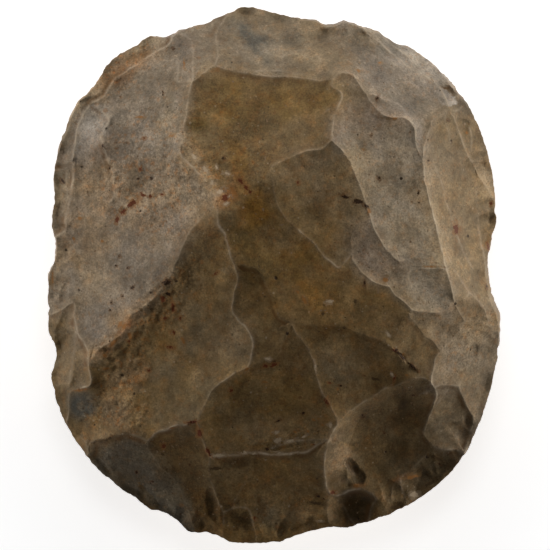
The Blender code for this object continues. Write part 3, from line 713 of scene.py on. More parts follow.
# Spots: colour and strength of their broken fringe, and of their core
SPOT_COLOURS = {
    "orange": (((0.22, 0.125, 0.05, 1), 0.5), ((0.28, 0.11, 0.025, 1), 0.7)),
    "rust": (((0.22, 0.095, 0.030, 1), 0.6), ((0.105, 0.024, 0.008, 1), 0.95)),
    "dark": (((0.10, 0.042, 0.014, 1), 0.6), ((0.024, 0.010, 0.004, 1), 0.95)),
    "brown": (((0.11, 0.066, 0.026, 1), 0.6), ((0.060, 0.034, 0.013, 1), 0.85)),
    "pale": (((0.30, 0.22, 0.14, 1), 0.5), ((0.46, 0.35, 0.23, 1), 0.75)),
}
# For the fringe and for the core: the noise that makes it ragged (size, detail and seed), how strongly
# it does, and where in the spot's field it begins and is full
SPOT_PARTS = (((0.9, 3, 11), 3.0, (0.5, 0.7)), ((0.5, 2, 10), 1.1, (0.80, 0.90)))

# The surface: its gloss, and its roughness in plain and in granular places
GLOSS = 0.22
GLOSS_TINT = (1.0, 0.80, 0.60, 1)
SURFACE_ROUGHNESS = (0.55, 0.8)
# Its finest bumps: how high a full one is, their noise (size, detail, seed and roughness) and its share
# in plain and in granular places. Other noises have this roughness
BUMP_HEIGHT = 0.12
FINE_BUMPS = (1.2, 5, 16, 0.65)
FINE_BUMP_SHARES = (0.9, 2.2)
NOISE_ROUGHNESS = 0.55

# ------------------------------------------------------------------ studio

# Softboxes: bearing and elevation in degrees, distance, width and height in metres, and the light
# that each gives a surface facing it
SOFTBOXES = {
    "right softbox": (12, 8, 1.2, 0.6, 0.25, 2.0),
    "left softbox": (170, 8, 1.2, 0.6, 0.25, 1.75),
    "top softbox": (90, 18, 1.2, 0.6, 0.3, 1.25),
    "high softbox": (90, 72, 1.2, 0.4, 0.4, 0.36),
}
WORLD_LIGHT = 0.06
FLOOR_SIZE = 40
FLOOR_COLOUR = 0.97
FLOOR_ROUGHNESS = 0.9
FLOOR_GLOW = 0.63

# The camera: its distance above the edge plane and how far it sees, in metres, the width of its view
# and where the middle of that lies, in millimetres of the stone, and its sensor in millimetres
CAMERA_DISTANCE = 2.4
CAMERA_SIGHT = 24
VIEW_WIDTH = 122.9
VIEW_MIDDLE = (0.45, 0.11)
SENSOR = 36


# ------------------------------------------------------------------ noise and spots

# A noise is made of so many random values each way, and is moved so far that no place is negative
LATTICE = 256
SPAN = 1000
# A height above everything, the step over which slopes are taken, and the least slope that counts
FAR = 1e6
STEP = 0.02
DULLEST = 0.02


def ease(t):
    """Goes from 0 to 1 with a soft start and end."""
    return t * t * (3 - 2 * t)


def through(before, start, end, after, t):
    """The place that lies a share t of the way from start to end on a smooth curve through all four."""
    bend = 2 * before - 5 * start + 4 * end - after
    twist = 3 * start - before - 3 * end + after
    return start + 0.5 * t * (end - before + t * (bend + t * twist))


def lattice_noise(x, y, cell, seed):
    """Smooth noise between -1 and 1, with bumps about one cell apart."""
    random = np.random.default_rng(seed)
    turn = random.uniform(0, math.tau)
    values = random.uniform(-1, 1, (LATTICE, LATTICE))
    along = (x * math.cos(turn) + y * math.sin(turn) + SPAN) / cell
    across = (y * math.cos(turn) - x * math.sin(turn) + SPAN) / cell
    column = np.floor(along).astype(int)
    row = np.floor(across).astype(int)
    right = ease(along - column)
    up = ease(across - row)
    first, second = column % LATTICE, (column + 1) % LATTICE
    near, far = (values[line % LATTICE, first] * (1 - right) + values[line % LATTICE, second] * right
                 for line in (row, row + 1))
    return near * (1 - up) + far * up


def layers(x, y, octaves, seed):
    """The sum of several noises, each given as its cell and height."""
    return sum(height * lattice_noise(x, y, cell, seed + LAYER_SEEDS * number)
               for number, (cell, height) in enumerate(octaves))


def from_centre(x, y, oval):
    """How far out each point lies in an oval: 0 at its middle, 1 at its outline."""
    middle_x, middle_y, length, width, turn = oval
    angle = math.radians(turn)
    along = (x - middle_x) * math.cos(angle) + (y - middle_y) * math.sin(angle)
    across = (y - middle_y) * math.cos(angle) - (x - middle_x) * math.sin(angle)
    return np.hypot(along / (length / 2), across / (width / 2))


# ------------------------------------------------------------------ edge, scars and ridges

def edge_radius(bearing):
    """Distance of the working edge from the middle: a smooth curve through the radii, less the chips."""
    count = len(EDGE_RADII)
    radii = np.array(EDGE_RADII)
    place = bearing % 360 * count / 360
    first = np.floor(place).astype(int)
    radius = through(*(radii[(first + step) % count] for step in (-1, 0, 1, 2)), place - first)
    for middle, half_width, depth in EDGE_CHIPS:
        across = ((bearing - middle + 180) % 360 - 180) / half_width
        radius = radius - depth * np.maximum(0, 1 - across * across)
    return radius


def edge_point(bearing, share, height=0):
    """A point that lies the given share of the way out to the edge."""
    reach = share * float(edge_radius(np.array(float(bearing))))
    angle = math.radians(bearing)
    return reach * math.cos(angle), reach * math.sin(angle), height


def hollow(radius, points, side):
    """Centre and radius of the sphere through three points with its centre outside the face."""
    first, second, third = (Vector((x, y, side * z)) for x, y, z in points)
    one = second - first
    other = third - first
    normal = one.cross(other)
    to_middle = normal.cross(one) * other.length_squared + other.cross(normal) * one.length_squared
    to_middle /= 2 * normal.length_squared
    normal.normalize()
    if normal.z < 0:
        normal.negate()
    lift = math.sqrt(radius * radius - to_middle.length_squared)
    return first + to_middle + normal * lift, radius


def upper_scars():
    """Hollow and patina of every scar of the upper face."""
    return [(hollow(radius, points, 1), patina) for patina, radius, *points in FACE_SCARS.values()]


def under_scar(number, following, share, height, radius):
    """Hollow and patina of the scar underneath that runs from two junctions to a place halfway between
    their bearings, this share of the way out and at this height."""
    ends = (UNDER_JUNCTIONS[number], UNDER_JUNCTIONS[following])
    turn = (ends[1][0] - ends[0][0]) % 360
    points = [edge_point(bearing, reach, -depth) for bearing, reach, depth in ends]
    points.append(edge_point(ends[0][0] + turn / 2, share, height))
    return hollow(radius, points, -1), UNDER_PATINAS[number % len(UNDER_PATINAS)]


def under_scars():
    """Hollow and patina of every scar underneath: first those that run out to the edge, then those that
    run in to the resting facet."""
    count = len(UNDER_JUNCTIONS)
    scars = []
    for number in range(count):
        radius = UNDER_HOLLOWS[number % len(UNDER_HOLLOWS)]
        scars.append(under_scar(number, (number + 1) % count, 1, UNDER_RIM, radius))
    for number in range(0, count, 2):
        following = number + 2 if number + 2 < count else 0
        share = REST_SHARES[number // 2 % len(REST_SHARES)]
        scars.append(under_scar(number, following, share, -EDGE_HEIGHT, REST_HOLLOW))
    return scars


def ripples(centre_x, centre_y, x, y, phase, seed):
    """Rings round the middle of a scar's hollow, where the blow ran out in waves."""
    away = np.hypot(x - centre_x, y - centre_y)
    strength = RIPPLE_HEIGHT * lattice_noise(x, y, 2 * RIPPLE_LENGTH, seed + RIPPLE_SEED)
    return strength * np.sin(math.tau * away / RIPPLE_LENGTH + phase)


def smooth_curve(points):
    """Points close together on a smooth curve through the given ones."""
    points = np.array(points, float)
    ends = np.concatenate([2 * points[:1] - points[1:2], points, 2 * points[-1:] - points[-2:-1]])
    places = []
    for before, start, end, after in zip(ends[:-3], ends[1:-2], ends[2:-1], ends[3:]):
        steps = max(2, int(np.hypot(*(end - start)) / CURVE_STEP))
        places.append(through(before, start, end, after, np.arange(steps)[:, None] / steps))
    places = np.concatenate([*places, points[-1:]])
    return places[:, 0].copy(), places[:, 1].copy()


class Line:
    """A ridge or crease as a dense row of points on a smooth curve."""

    def __init__(self, points, left, right, paleness, drop, lift):
        self.left = left
        self.right = right
        self.paleness = paleness
        self.drop = drop
        self.lift = lift
        self.x, self.y = smooth_curve(points)
        for axis, seed in zip((self.x, self.y), WANDER_SEEDS):
            axis += layers(self.x, self.y, RIDGE_WANDER, seed)

    def beside(self, x, y):
        """Which points lie near the line, their distance to it, whether they lie on its left, and the
        nearest place on it."""
        near = np.flatnonzero((x > self.x.min() - LINE_REACH) & (x < self.x.max() + LINE_REACH)
                              & (y > self.y.min() - LINE_REACH) & (y < self.y.max() + LINE_REACH))
        best = np.full(len(near), FAR)
        on_left = np.zeros(len(near), bool)
        foot_x, foot_y = np.zeros(len(near)), np.zeros(len(near))
        for start_x, start_y, end_x, end_y in zip(self.x[:-1], self.y[:-1], self.x[1:], self.y[1:]):
            along_x, along_y = end_x - start_x, end_y - start_y
            off_x, off_y = x[near] - start_x, y[near] - start_y
            share = (off_x * along_x + off_y * along_y) / (along_x ** 2 + along_y ** 2)
            share = np.clip(share, 0, 1)
            distance = np.hypot(off_x - share * along_x, off_y - share * along_y)
            closer = distance < best
            best = np.where(closer, distance, best)
            on_left = np.where(closer, along_x * off_y - along_y * off_x > 0, on_left)
            foot_x = np.where(closer, start_x + share * along_x, foot_x)
            foot_y = np.where(closer, start_y + share * along_y, foot_y)
        return near, best, on_left, foot_x, foot_y


# ------------------------------------------------------------------ the two faces

class Face:
    """One face of the stone as heights above the edge plane, measured outwards. The lowest of its
    surfaces is the one that shows: the blank, a scar's hollow or the resting facet."""

    def __init__(self, side, rise, scars, rough_patches, small_flakes, seed):
        self.side = side
        self.rise = rise
        self.deepest = EDGE_HEIGHT if side < 0 else FAR
        self.hollows = [scar for scar, _ in scars]
        names = [BLANK_PATINA, *(patina for _, patina in scars), FACET_PATINA]
        self.patinas = np.array([PATINAS[name] for name in names])
        self.rough_patches = rough_patches
        self.small_flakes = small_flakes
        self.seed = seed

    def blank(self, x, y):
        """Height of the lens-shaped blank."""
        share = np.hypot(x, y) / edge_radius(np.degrees(np.arctan2(y, x)))
        return self.rise * np.sqrt(np.maximum(0, 1 - share * share))

    def scar_height(self, number, x, y):
        """Height of one scar's hollow, far up where the hollow doesn't reach."""
        centre, radius = self.hollows[number]
        inside = radius ** 2 - (x - centre.x) ** 2 - (y - centre.y) ** 2
        return np.where(inside > 0, centre.z - np.sqrt(np.maximum(0, inside)), FAR)

    def scar_heights(self, x, y):
        """One row of heights for each scar."""
        return np.array([self.scar_height(number, x, y) for number in range(len(self.hollows))])

    def heights(self, x, y):
        """One row of heights for the blank, one for each scar and one for the resting facet."""
        return np.array([self.blank(x, y), *self.scar_heights(x, y), np.full_like(x, self.deepest)])

    def unevenness(self, x, y):
        """How far each of those surfaces rolls and ripples, in the same rows."""
        flat = np.zeros_like(x)
        rows = [flat]
        for number, (centre, _) in enumerate(self.hollows):
            seed = self.seed + SCAR_SEEDS * number
            rows.append(layers(x, y, ROLL, seed) + ripples(centre.x, centre.y, x, y, number, seed))
        rows.append(flat)
        return np.array(rows)

    def worn_height(self, x, y, uneven):
        """Height of the lowest surface at each point, with its ridges worn round."""
        total = 0
        count = 0
        for reach, points in WORN_RINGS:
            for number in range(points):
                angle = math.tau * number / points
                shift_x, shift_y = reach * WORN * math.cos(angle), reach * WORN * math.sin(angle)
                total = total + (self.heights(x + shift_x, y + shift_y) + uneven).min(0)
                count += 1
        return total / count

    def nearest_ridge(self, x, y, uneven):
        """Rows of the lowest surface and of the next one, the distance to their ridge, and how sharp
        that is."""
        rows = self.heights(x, y) + uneven
        order = np.argpartition(rows, 1, axis=0)[:2]
        column = np.arange(len(x))
        swap = rows[order[0], column] > rows[order[1], column]
        shown = np.where(swap, order[1], order[0])
        hidden = np.where(swap, order[0], order[1])
        gap = rows[hidden, column] - rows[shown, column]
        slopes = []
        for shift_x, shift_y in ((STEP, 0), (0, STEP)):
            beside = self.heights(x + shift_x, y + shift_y) + uneven
            slopes.append((beside[hidden, column] - beside[shown, column] - gap) / STEP)
        sharpness = np.hypot(*slopes)
        return shown, hidden, gap / np.maximum(sharpness, DULLEST), sharpness

    def skin(self, x, y):
        """Height, patina, paleness of the ridges, the distance across them and the seam at each point."""
        uneven = self.unevenness(x, y)
        shown, hidden, away, sharpness = self.nearest_ridge(x, y, uneven)
        ridge = np.exp(-(away / RIDGE_WIDTH) ** 2) * np.clip(sharpness / RIDGE_SHARP, 0, 1)
        across = np.where(shown < hidden, away, -away)
        rust_and_shade_seam = np.zeros_like(x)
        return self.worn_height(x, y, uneven), self.blended(shown, hidden, away), ridge, across, rust_and_shade_seam

    def blended(self, shown, hidden, away):
        """The patina of the scar that shows, mixed with the next one's near the ridge between them."""
        mixed = 0.5 * np.clip(1 - away / PATINA_BLEND, 0, 1)[:, None]
        return self.patinas[shown] * (1 - mixed) + self.patinas[hidden] * mixed

    def snapped(self, x, y):
        """The points as they are: this face has no drawn lines for them to lie on."""
        return x, y


def along_lines(paleness, lower, away):
    """How far the skin swells up along a line, and drops on one side of it."""
    crest, width = CREST
    swelling = crest * paleness * np.exp(-away / width)
    return swelling - lower * (1 - np.exp(-away / DROP_WIDTH)) * np.exp(-away / DROP_REACH)


def tension(values, width):
    """How far each place of a square grid stands above its four neighbours, in all."""
    square = values.reshape(width, width)
    result = 4 * square
    result[1:] -= square[:-1]
    result[:-1] -= square[1:]
    result[:, 1:] -= square[:, :-1]
    result[:, :-1] -= square[:, 1:]
    return result.ravel()


def settled(height, lacking, pull, stiffness):
    """The heights at rest, by conjugate gradients. Each place is still drawn by what is lacking, pull says
    how a move of all places changes that, and stiffness is each place's own share in it."""
    step = lacking / stiffness
    direction = step.copy()
    progress = lacking @ step
    for _ in range(ROUNDS):
        pulled = pull(direction)
        amount = progress / (direction @ pulled)
        height = height + amount * direction
        lacking = lacking - amount * pulled
        step = lacking / stiffness
        following = lacking @ step
        direction = step + following / progress * direction
        progress = following
    return height


class DrawnFace(Face):
    """The upper face. Its ridges run as drawn, at the height where the two scars beside them meet, and
    the skin is drawn tight between them like a soap film, and bowed in as far as each scar is hollow."""

    def __init__(self, *settings):
        super().__init__(*settings)
        names = list(FACE_SCARS)
        self.lines = [Line(points, names.index(left), names.index(right), pale, drop, 0)
                      for left, right, pale, drop, *points in RIDGES]
        self.lines += [Line(points, None, None, pale, 0, lift) for lift, pale, *points in CREASES]
        self.holding = [line for line in self.lines if line.drop is not None]
        half = GRID * round((max(EDGE_RADII) + GRID_MARGIN) / GRID)
        self.start = -half
        axis = np.arange(-half, half + GRID / 2, GRID)
        self.width = len(axis)
        grid_x, grid_y = np.meshgrid(axis, axis)
        self.film = self.stretched(grid_x.ravel(), grid_y.ravel())

    def stretched(self, x, y):
        """Heights on the grid that hold to the ridges and bow in evenly between them."""
        rows = self.scar_heights(x, y)
        height = rows.min(0)
        shown = self.marked(x, y, rows)[0]
        radius = np.array([radius for _, radius in self.hollows])[shown]
        inside = np.hypot(x, y) < edge_radius(np.degrees(np.arctan2(y, x)))
        line_x = np.concatenate([line.x for line in self.holding])
        line_y = np.concatenate([line.y for line in self.holding])
        held = np.concatenate(self.line_heights())[:, None]
        corners, shares = self.corners(line_x, line_y)

        def spread(values):
            """What the points of the lines do at the corners round them."""
            return np.bincount(corners.ravel(), (HOLD * values).ravel(), len(height))

        def pull(values):
            """How hard the film and the lines draw at every place inside the edge."""
            strain = (values[corners] * shares).sum(1)
            return (tension(values, self.width) + spread(strain[:, None] * shares)) * inside

        # A hollow curves by 1 / radius each way
        load = -2 / radius * GRID * GRID
        lacking = (load + spread(held * shares)) * inside - pull(height)
        return settled(height, lacking, pull, 4 + spread(shares ** 2))

    def line_heights(self):
        """Height along every line, bent at its ends so that the ridges agree where they meet."""
        ridges = [line for line in self.holding if line.left is not None]
        rows = [self.line_height(line) for line in ridges]
        end_x = np.array([line.x[[0, -1]] for line in ridges])
        end_y = np.array([line.y[[0, -1]] for line in ridges])
        end_height = np.array([row[[0, -1]] for row in rows])
        for line, row in zip(ridges, rows):
            share = np.linspace(0, 1, len(row))
            for end, away in ((0, share), (-1, 1 - share)):
                met = np.hypot(end_x - line.x[end], end_y - line.y[end]) < MEETING
                change = end_height[met].mean() - row[end]
                row += change * ease(np.maximum(0, 1 - away * len(row) / END_BEND))
        return rows + [self.line_height(line) for line in self.holding[len(ridges):]]

    def line_height(self, line):
        """Height along a line: halfway between the scars beside it, or above the one that it lies in."""
        lowest = self.scar_heights(line.x, line.y).min(0)
        if line.left is None:
            return lowest + line.lift
        left, right = (self.scar_height(scar, line.x, line.y) for scar in (line.left, line.right))
        return np.minimum((left + right) / 2, lowest + HIGHEST_CREST)

    def corners(self, x, y):
        """The four corners of the grid's cell round each point, and how much each of them counts there."""
        along, across = (x - self.start) / GRID, (y - self.start) / GRID
        column, row = np.floor(along).astype(int), np.floor(across).astype(int)
        right, up = along - column, across - row
        first = row * self.width + column
        places = np.stack([first, first + 1, first + self.width, first + self.width + 1], 1)
        shares = [(1 - right) * (1 - up), right * (1 - up), (1 - right) * up, right * up]
        return places, np.stack(shares, 1)

    def marked(self, x, y, rows):
        """Scars on this side and on the other side of the nearest ridge, the distance to it, the nearest
        line of any kind with its distance, and whether the point lies on that line's left."""
        shown = rows.argmin(0)
        hidden = shown.copy()
        to_ridge = np.full(len(x), float(LINE_REACH))
        to_line = np.full(len(x), float(LINE_REACH))
        nearest = np.full(len(x), -1)
        left_of = np.zeros(len(x), bool)
        for number, line in enumerate(self.lines):
            near, distance, on_left, _, _ = line.beside(x, y)
            closer = distance < to_line[near]
            which = near[closer]
            to_line[which] = distance[closer]
            nearest[which] = number
            left_of[which] = on_left[closer]
            if line.left is None:
                continue
            closer = distance < to_ridge[near]
            which = near[closer]
            to_ridge[which] = distance[closer]
            shown[which] = np.where(on_left[closer], line.left, line.right)
            hidden[which] = np.where(on_left[closer], line.right, line.left)
        return shown, hidden, to_ridge, nearest, to_line, left_of

    def snapped(self, x, y):
        """The points, with those that nearly lie on a line moved onto it."""
        nearest = np.full(len(x), float(SNAP))
        new_x, new_y = x.copy(), y.copy()
        for line in self.lines:
            near, distance, _, foot_x, foot_y = line.beside(x, y)
            closer = distance < nearest[near]
            which = near[closer]
            nearest[which] = distance[closer]
            new_x[which] = foot_x[closer]
            new_y[which] = foot_y[closer]
        return new_x, new_y

    def hung(self, x, y):
        """Height of the film."""
        corners, shares = self.corners(x, y)
        return (self.film[corners] * shares).sum(1)

    def rolling(self, x, y, shown, to_ridge):
        """How far the skin rolls and ripples over the film."""
        centre_x, centre_y = np.array([(centre.x, centre.y) for centre, _ in self.hollows])[shown].T
        waves = ripples(centre_x, centre_y, x, y, shown, self.seed)
        return layers(x, y, ROLL, self.seed) + waves * np.minimum(1, to_ridge / RIPPLE_FADE)

    def skin(self, x, y):
        """Height, patina, paleness of the ridges, the distance across them and the seam, partly rust and
        partly painted shade, at each point.
        """
        shown, hidden, to_ridge, nearest, to_line, left_of = self.marked(x, y, self.scar_heights(x, y))
        rows = [(line.paleness, line.drop or 0, line.drop is None) for line in self.lines]
        paleness, drop, soft = np.array([*rows, (0, 0, False)])[nearest].T
        lower = np.where(left_of, -drop, drop) / 2
        height = self.hung(x, y) + along_lines(paleness, lower, to_line)
        height = np.minimum(height + self.rolling(x, y, shown, to_ridge), self.blank(x, y))
        ridge = paleness * np.exp(-(to_line / RIDGE_WIDTH) ** 2)
        # Dark seam at the foot of a drop: partly rust, partly painted shade
        rust_and_shade_seam = np.clip(SEAM_SHARE * lower, 0, 1) * np.exp(-((to_line - SEAM_PLACE) / SEAM_WIDTH) ** 2)
        across = np.where(left_of, to_line, -to_line)
        patina = self.blended(shown + 1, hidden + 1, np.where(soft > 0, to_ridge / SOFTER, to_ridge))
        return height, patina, ridge, across, rust_and_shade_seam


# ------------------------------------------------------------------ relief and colour over all scars

def granular(x, y, patches):
    """How granular the skin is, from 0 to 1."""
    rough = np.zeros_like(x)
    wobble = layers(x, y, PATCH_WOBBLE, PATCH_SEED)
    middle, fall = PATCH_FALL
    for *oval, strength in patches:
        out = from_centre(x, y, oval) + wobble
        rough = np.maximum(rough, strength * ease(np.clip(middle - fall * out, 0, 1)))
    return rough


def nibbles():
    """Small flakes knocked off all along the working edge, as rows like those of SMALL_FLAKES."""
    random = np.random.default_rng(NIBBLE_SEED)
    rows = []
    for _ in range(NIBBLES):
        bearing = random.uniform(0, 360)
        size = random.uniform(0, 1) ** NIBBLE_SMALL
        length, depth = (least + size * (most - least) for least, most in (NIBBLE_LENGTH, NIBBLE_DEPTH))
        width, share = (random.uniform(*limits) for limits in (NIBBLE_WIDTH, NIBBLE_SHARE))
        x, y, _ = edge_point(bearing, share)
        turn = bearing + random.uniform(-NIBBLE_TURN, NIBBLE_TURN)
        rows.append((x, y, length, width * length, turn, depth, NIBBLE_DARK * size))
    return rows


def relief(face, x, y, share, rough):
    """Fine relief over all scars: grain, granular patches, small flakes and pits."""
    height = layers(x, y, GRAIN, face.seed + GRAIN_SEED)
    height += rough * layers(x, y, ROUGH_GRAIN, face.seed + ROUGH_GRAIN_SEED)
    jag = layers(x, y, FLAKE_JAG, FLAKE_SEED)
    for *oval, depth, _ in face.small_flakes:
        height -= depth * np.maximum(0, 1 - np.maximum(0, from_centre(x, y, oval) + jag) ** 2)
    return height * np.minimum(1, (1 - share) * RELIEF_FADE)


def flake_shade(face, x, y):
    """How much of its light each point's patina keeps: small flakes bare a darker stone."""
    kept = np.ones(len(x))
    jag = layers(x, y, FLAKE_JAG, FLAKE_SEED)
    for *oval, _, darker in face.small_flakes:
        inside = np.clip((1 - from_centre(x, y, oval) - jag) / FLAKE_RIM, 0, 1)
        kept = np.minimum(kept, 1 - darker * inside)
    return kept[:, None]


def stained_and_shaded(colour, x, y):
    """The patina with its stains and its patches of painted shade."""
    wobble = layers(x, y, STAIN_AND_SHADE_WOBBLE, STAIN_AND_SHADE_SEED)
    for name, soft_patches in STAINS_AND_PAINTED_SHADE.items():
        for *oval, strength in soft_patches:
            inside = np.clip(STAIN_AND_SHADE_MIDDLE - from_centre(x, y, oval) - wobble, 0, 1)
            share = strength * inside[:, None]
            colour = colour * (1 - share) + np.array(STAIN_AND_SHADE_COLOURS[name]) * share
    return colour


def spot_fields(x, y):
    """One column for each kind of spot, highest in the middle of a spot and 0 well outside."""
    middle, fall = SPOT_FIELD
    columns = []
    for spots in SPOTS.values():
        nearest = np.min([from_centre(x, y, spot) for spot in spots], axis=0)
        columns.append(np.maximum(0, middle - fall * nearest))
    return np.stack(columns, 1)


# ------------------------------------------------------------------ the stone

def ring_disc(rings):
    """Points in rings round the middle, six more in each ring: bearing, share of the way out, and the
    triangles between them."""
    bearing, share = [0.0], [0.0]
    triangles = []
    inner_start, start = 0, 1
    for ring in range(1, rings + 1):
        count = SECTORS * ring
        bearing.extend(360 * number / count for number in range(count))
        share.extend([ring / rings] * count)
        inner_count = max(1, count - SECTORS)
        for sector in range(SECTORS):
            for step in range(ring):
                outer = start + sector * ring + step
                following = start + (sector * ring + step + 1) % count
                inner = inner_start + (sector * (ring - 1) + step) % inner_count
                triangles.append((inner, outer, following))
                if step < ring - 1:
                    beside = inner_start + (sector * (ring - 1) + step + 1) % inner_count
                    triangles.append((inner, following, beside))
        inner_start, start = start, start + count
    return np.array(bearing), np.array(share), np.array(triangles)


def edge_places(bearing):
    """The working edge at these bearings: its distance from the middle and its X and Y."""
    angle = np.radians(bearing)
    rim = edge_radius(bearing)
    return rim, rim * np.cos(angle), rim * np.sin(angle)


def placed(bearing, share):
    """Points on the disc, drawn out to the edge with its fine nibbling."""
    angle = np.radians(bearing)
    rim, edge_x, edge_y = edge_places(bearing)
    nibble = -np.abs(layers(edge_x, edge_y, EDGE_GRAIN, EDGE_GRAIN_SEED))
    reach = share * (rim + nibble * share ** GRAIN_FADE)
    return reach * np.cos(angle), reach * np.sin(angle)


def edge_wave(bearing, share):
    """How far the edge winds above and below its plane, dying out towards the middle."""
    _, edge_x, edge_y = edge_places(bearing)
    return layers(edge_x, edge_y, EDGE_WAVE, EDGE_WAVE_SEED) * share ** WAVE_FADE


def face_surface(face, rings, last_share, closed):
    """Points, triangles and skin of one face. A closed one has one more ring, on the edge itself."""
    bearing, share, triangles = ring_disc(rings)
    last = 1 - 1 / rings if closed else 1
    share = np.where(share > last + 0.5 / rings, 1, share * last_share / last)
    x, y = placed(bearing, share)
    snapped_x, snapped_y = face.snapped(x, y)
    x = np.where(share < LAST_SNAP, snapped_x, x)
    y = np.where(share < LAST_SNAP, snapped_y, y)
    rough = granular(x, y, face.rough_patches)
    z, patina, ridge, across, rust_and_shade_seam = face.skin(x, y)
    z = np.clip(z + relief(face, x, y, share, rough), THINNEST, face.deepest)
    z = np.where(share == 1, 0, z) * face.side + edge_wave(bearing, share)
    spots = np.zeros((len(x), len(SPOTS)))
    if face.side > 0:
        patina = stained_and_shaded(patina, x, y)
        spots = spot_fields(x, y)
    patina = patina * flake_shade(face, x, y)
    mean, change, cell = RIDGE_CLOUDS
    ridge = ridge * np.clip(mean + change * lattice_noise(x, y, cell, face.seed + RIDGE_SEED), 0, 1)
    across = np.clip(across, -FARTHEST_ACROSS, FARTHEST_ACROSS)
    return triangles, np.stack([x, y, z], 1), np.column_stack([patina, ridge, across, rough, rust_and_shade_seam, spots])


def edge_band(fine, coarse):
    """Triangles between the working edge and the coarser last ring underneath."""
    number = np.arange(len(coarse))
    following = coarse[(number + 1) % len(coarse)]
    first, second, third = (fine[(2 * number + step) % len(fine)] for step in (0, 1, 2))
    corners = ((coarse, second, first), (coarse, following, second), (following, third, second))
    return np.concatenate([np.stack(corner, 1) for corner in corners])


def two_faces():
    """Points, triangles and skin of both faces, joined along the working edge."""
    flakes = (*SMALL_FLAKES, *nibbles())
    upper = DrawnFace(1, FACE_RISE, upper_scars(), ROUGH_PATCHES, flakes, UPPER_SEED)
    under = Face(-1, UNDER_RISE, under_scars(), UNDER_ROUGH_PATCHES, UNDER_FLAKES, UNDER_SEED)
    triangles, points, skin = face_surface(upper, FACE_RINGS, LAST_RING, True)
    under_triangles, under_points, under_skin = face_surface(under, UNDER_RINGS, UNDER_RING, False)
    count = len(points)
    working_edge = np.arange(count - SECTORS * FACE_RINGS, count)
    last_under = count + np.arange(len(under_points) - SECTORS * UNDER_RINGS, len(under_points))
    band = edge_band(working_edge, last_under)
    triangles = np.concatenate([triangles, under_triangles[:, ::-1] + count, band])
    return np.concatenate([points, under_points]), triangles, np.concatenate([skin, under_skin])


def in_scene(name, data):
    """A new object in the scene."""
    made = bpy.data.objects.new(name, data)
    bpy.context.scene.collection.objects.link(made)
    return made


def stone():
    """The whole stone as one closed mesh, with its patina, ridges and roughness as attributes."""
    points, triangles, skin = two_faces()
    mesh = bpy.data.meshes.new("stone")
    mesh.vertices.add(len(points))
    mesh.vertices.foreach_set("co", (points * MM + np.array(MIDDLE)).astype(np.float32).ravel())
    mesh.loops.add(triangles.size)
    mesh.loops.foreach_set("vertex_index", triangles.astype(np.int32).ravel())
    mesh.polygons.add(len(triangles))
    mesh.polygons.foreach_set("loop_start", np.arange(0, triangles.size, 3, dtype=np.int32))
    mesh.update(calc_edges=True)
    mesh.validate()
    mesh.shade_smooth()
    mesh.set_sharp_from_angle(angle=math.radians(SHARP_ANGLE))
    colour = np.column_stack([skin[:, :3], np.ones(len(skin))]).astype(np.float32)
    mesh.attributes.new("patina", "FLOAT_COLOR", "POINT").data.foreach_set("color", colour.ravel())
    for number, name in enumerate(("ridge", "across", "granular", "rust_and_shade_seam", *SPOTS), 3):
        values = np.ascontiguousarray(skin[:, number], np.float32)
        mesh.attributes.new(name, "FLOAT", "POINT").data.foreach_set("value", values)
    return in_scene("stone", mesh)


# ------------------------------------------------------------------ materials

# Where a mixing node has its two colours, and their mixture
MIX_FIRST = 6
MIX_SECOND = 7
MIX_RESULT = 2


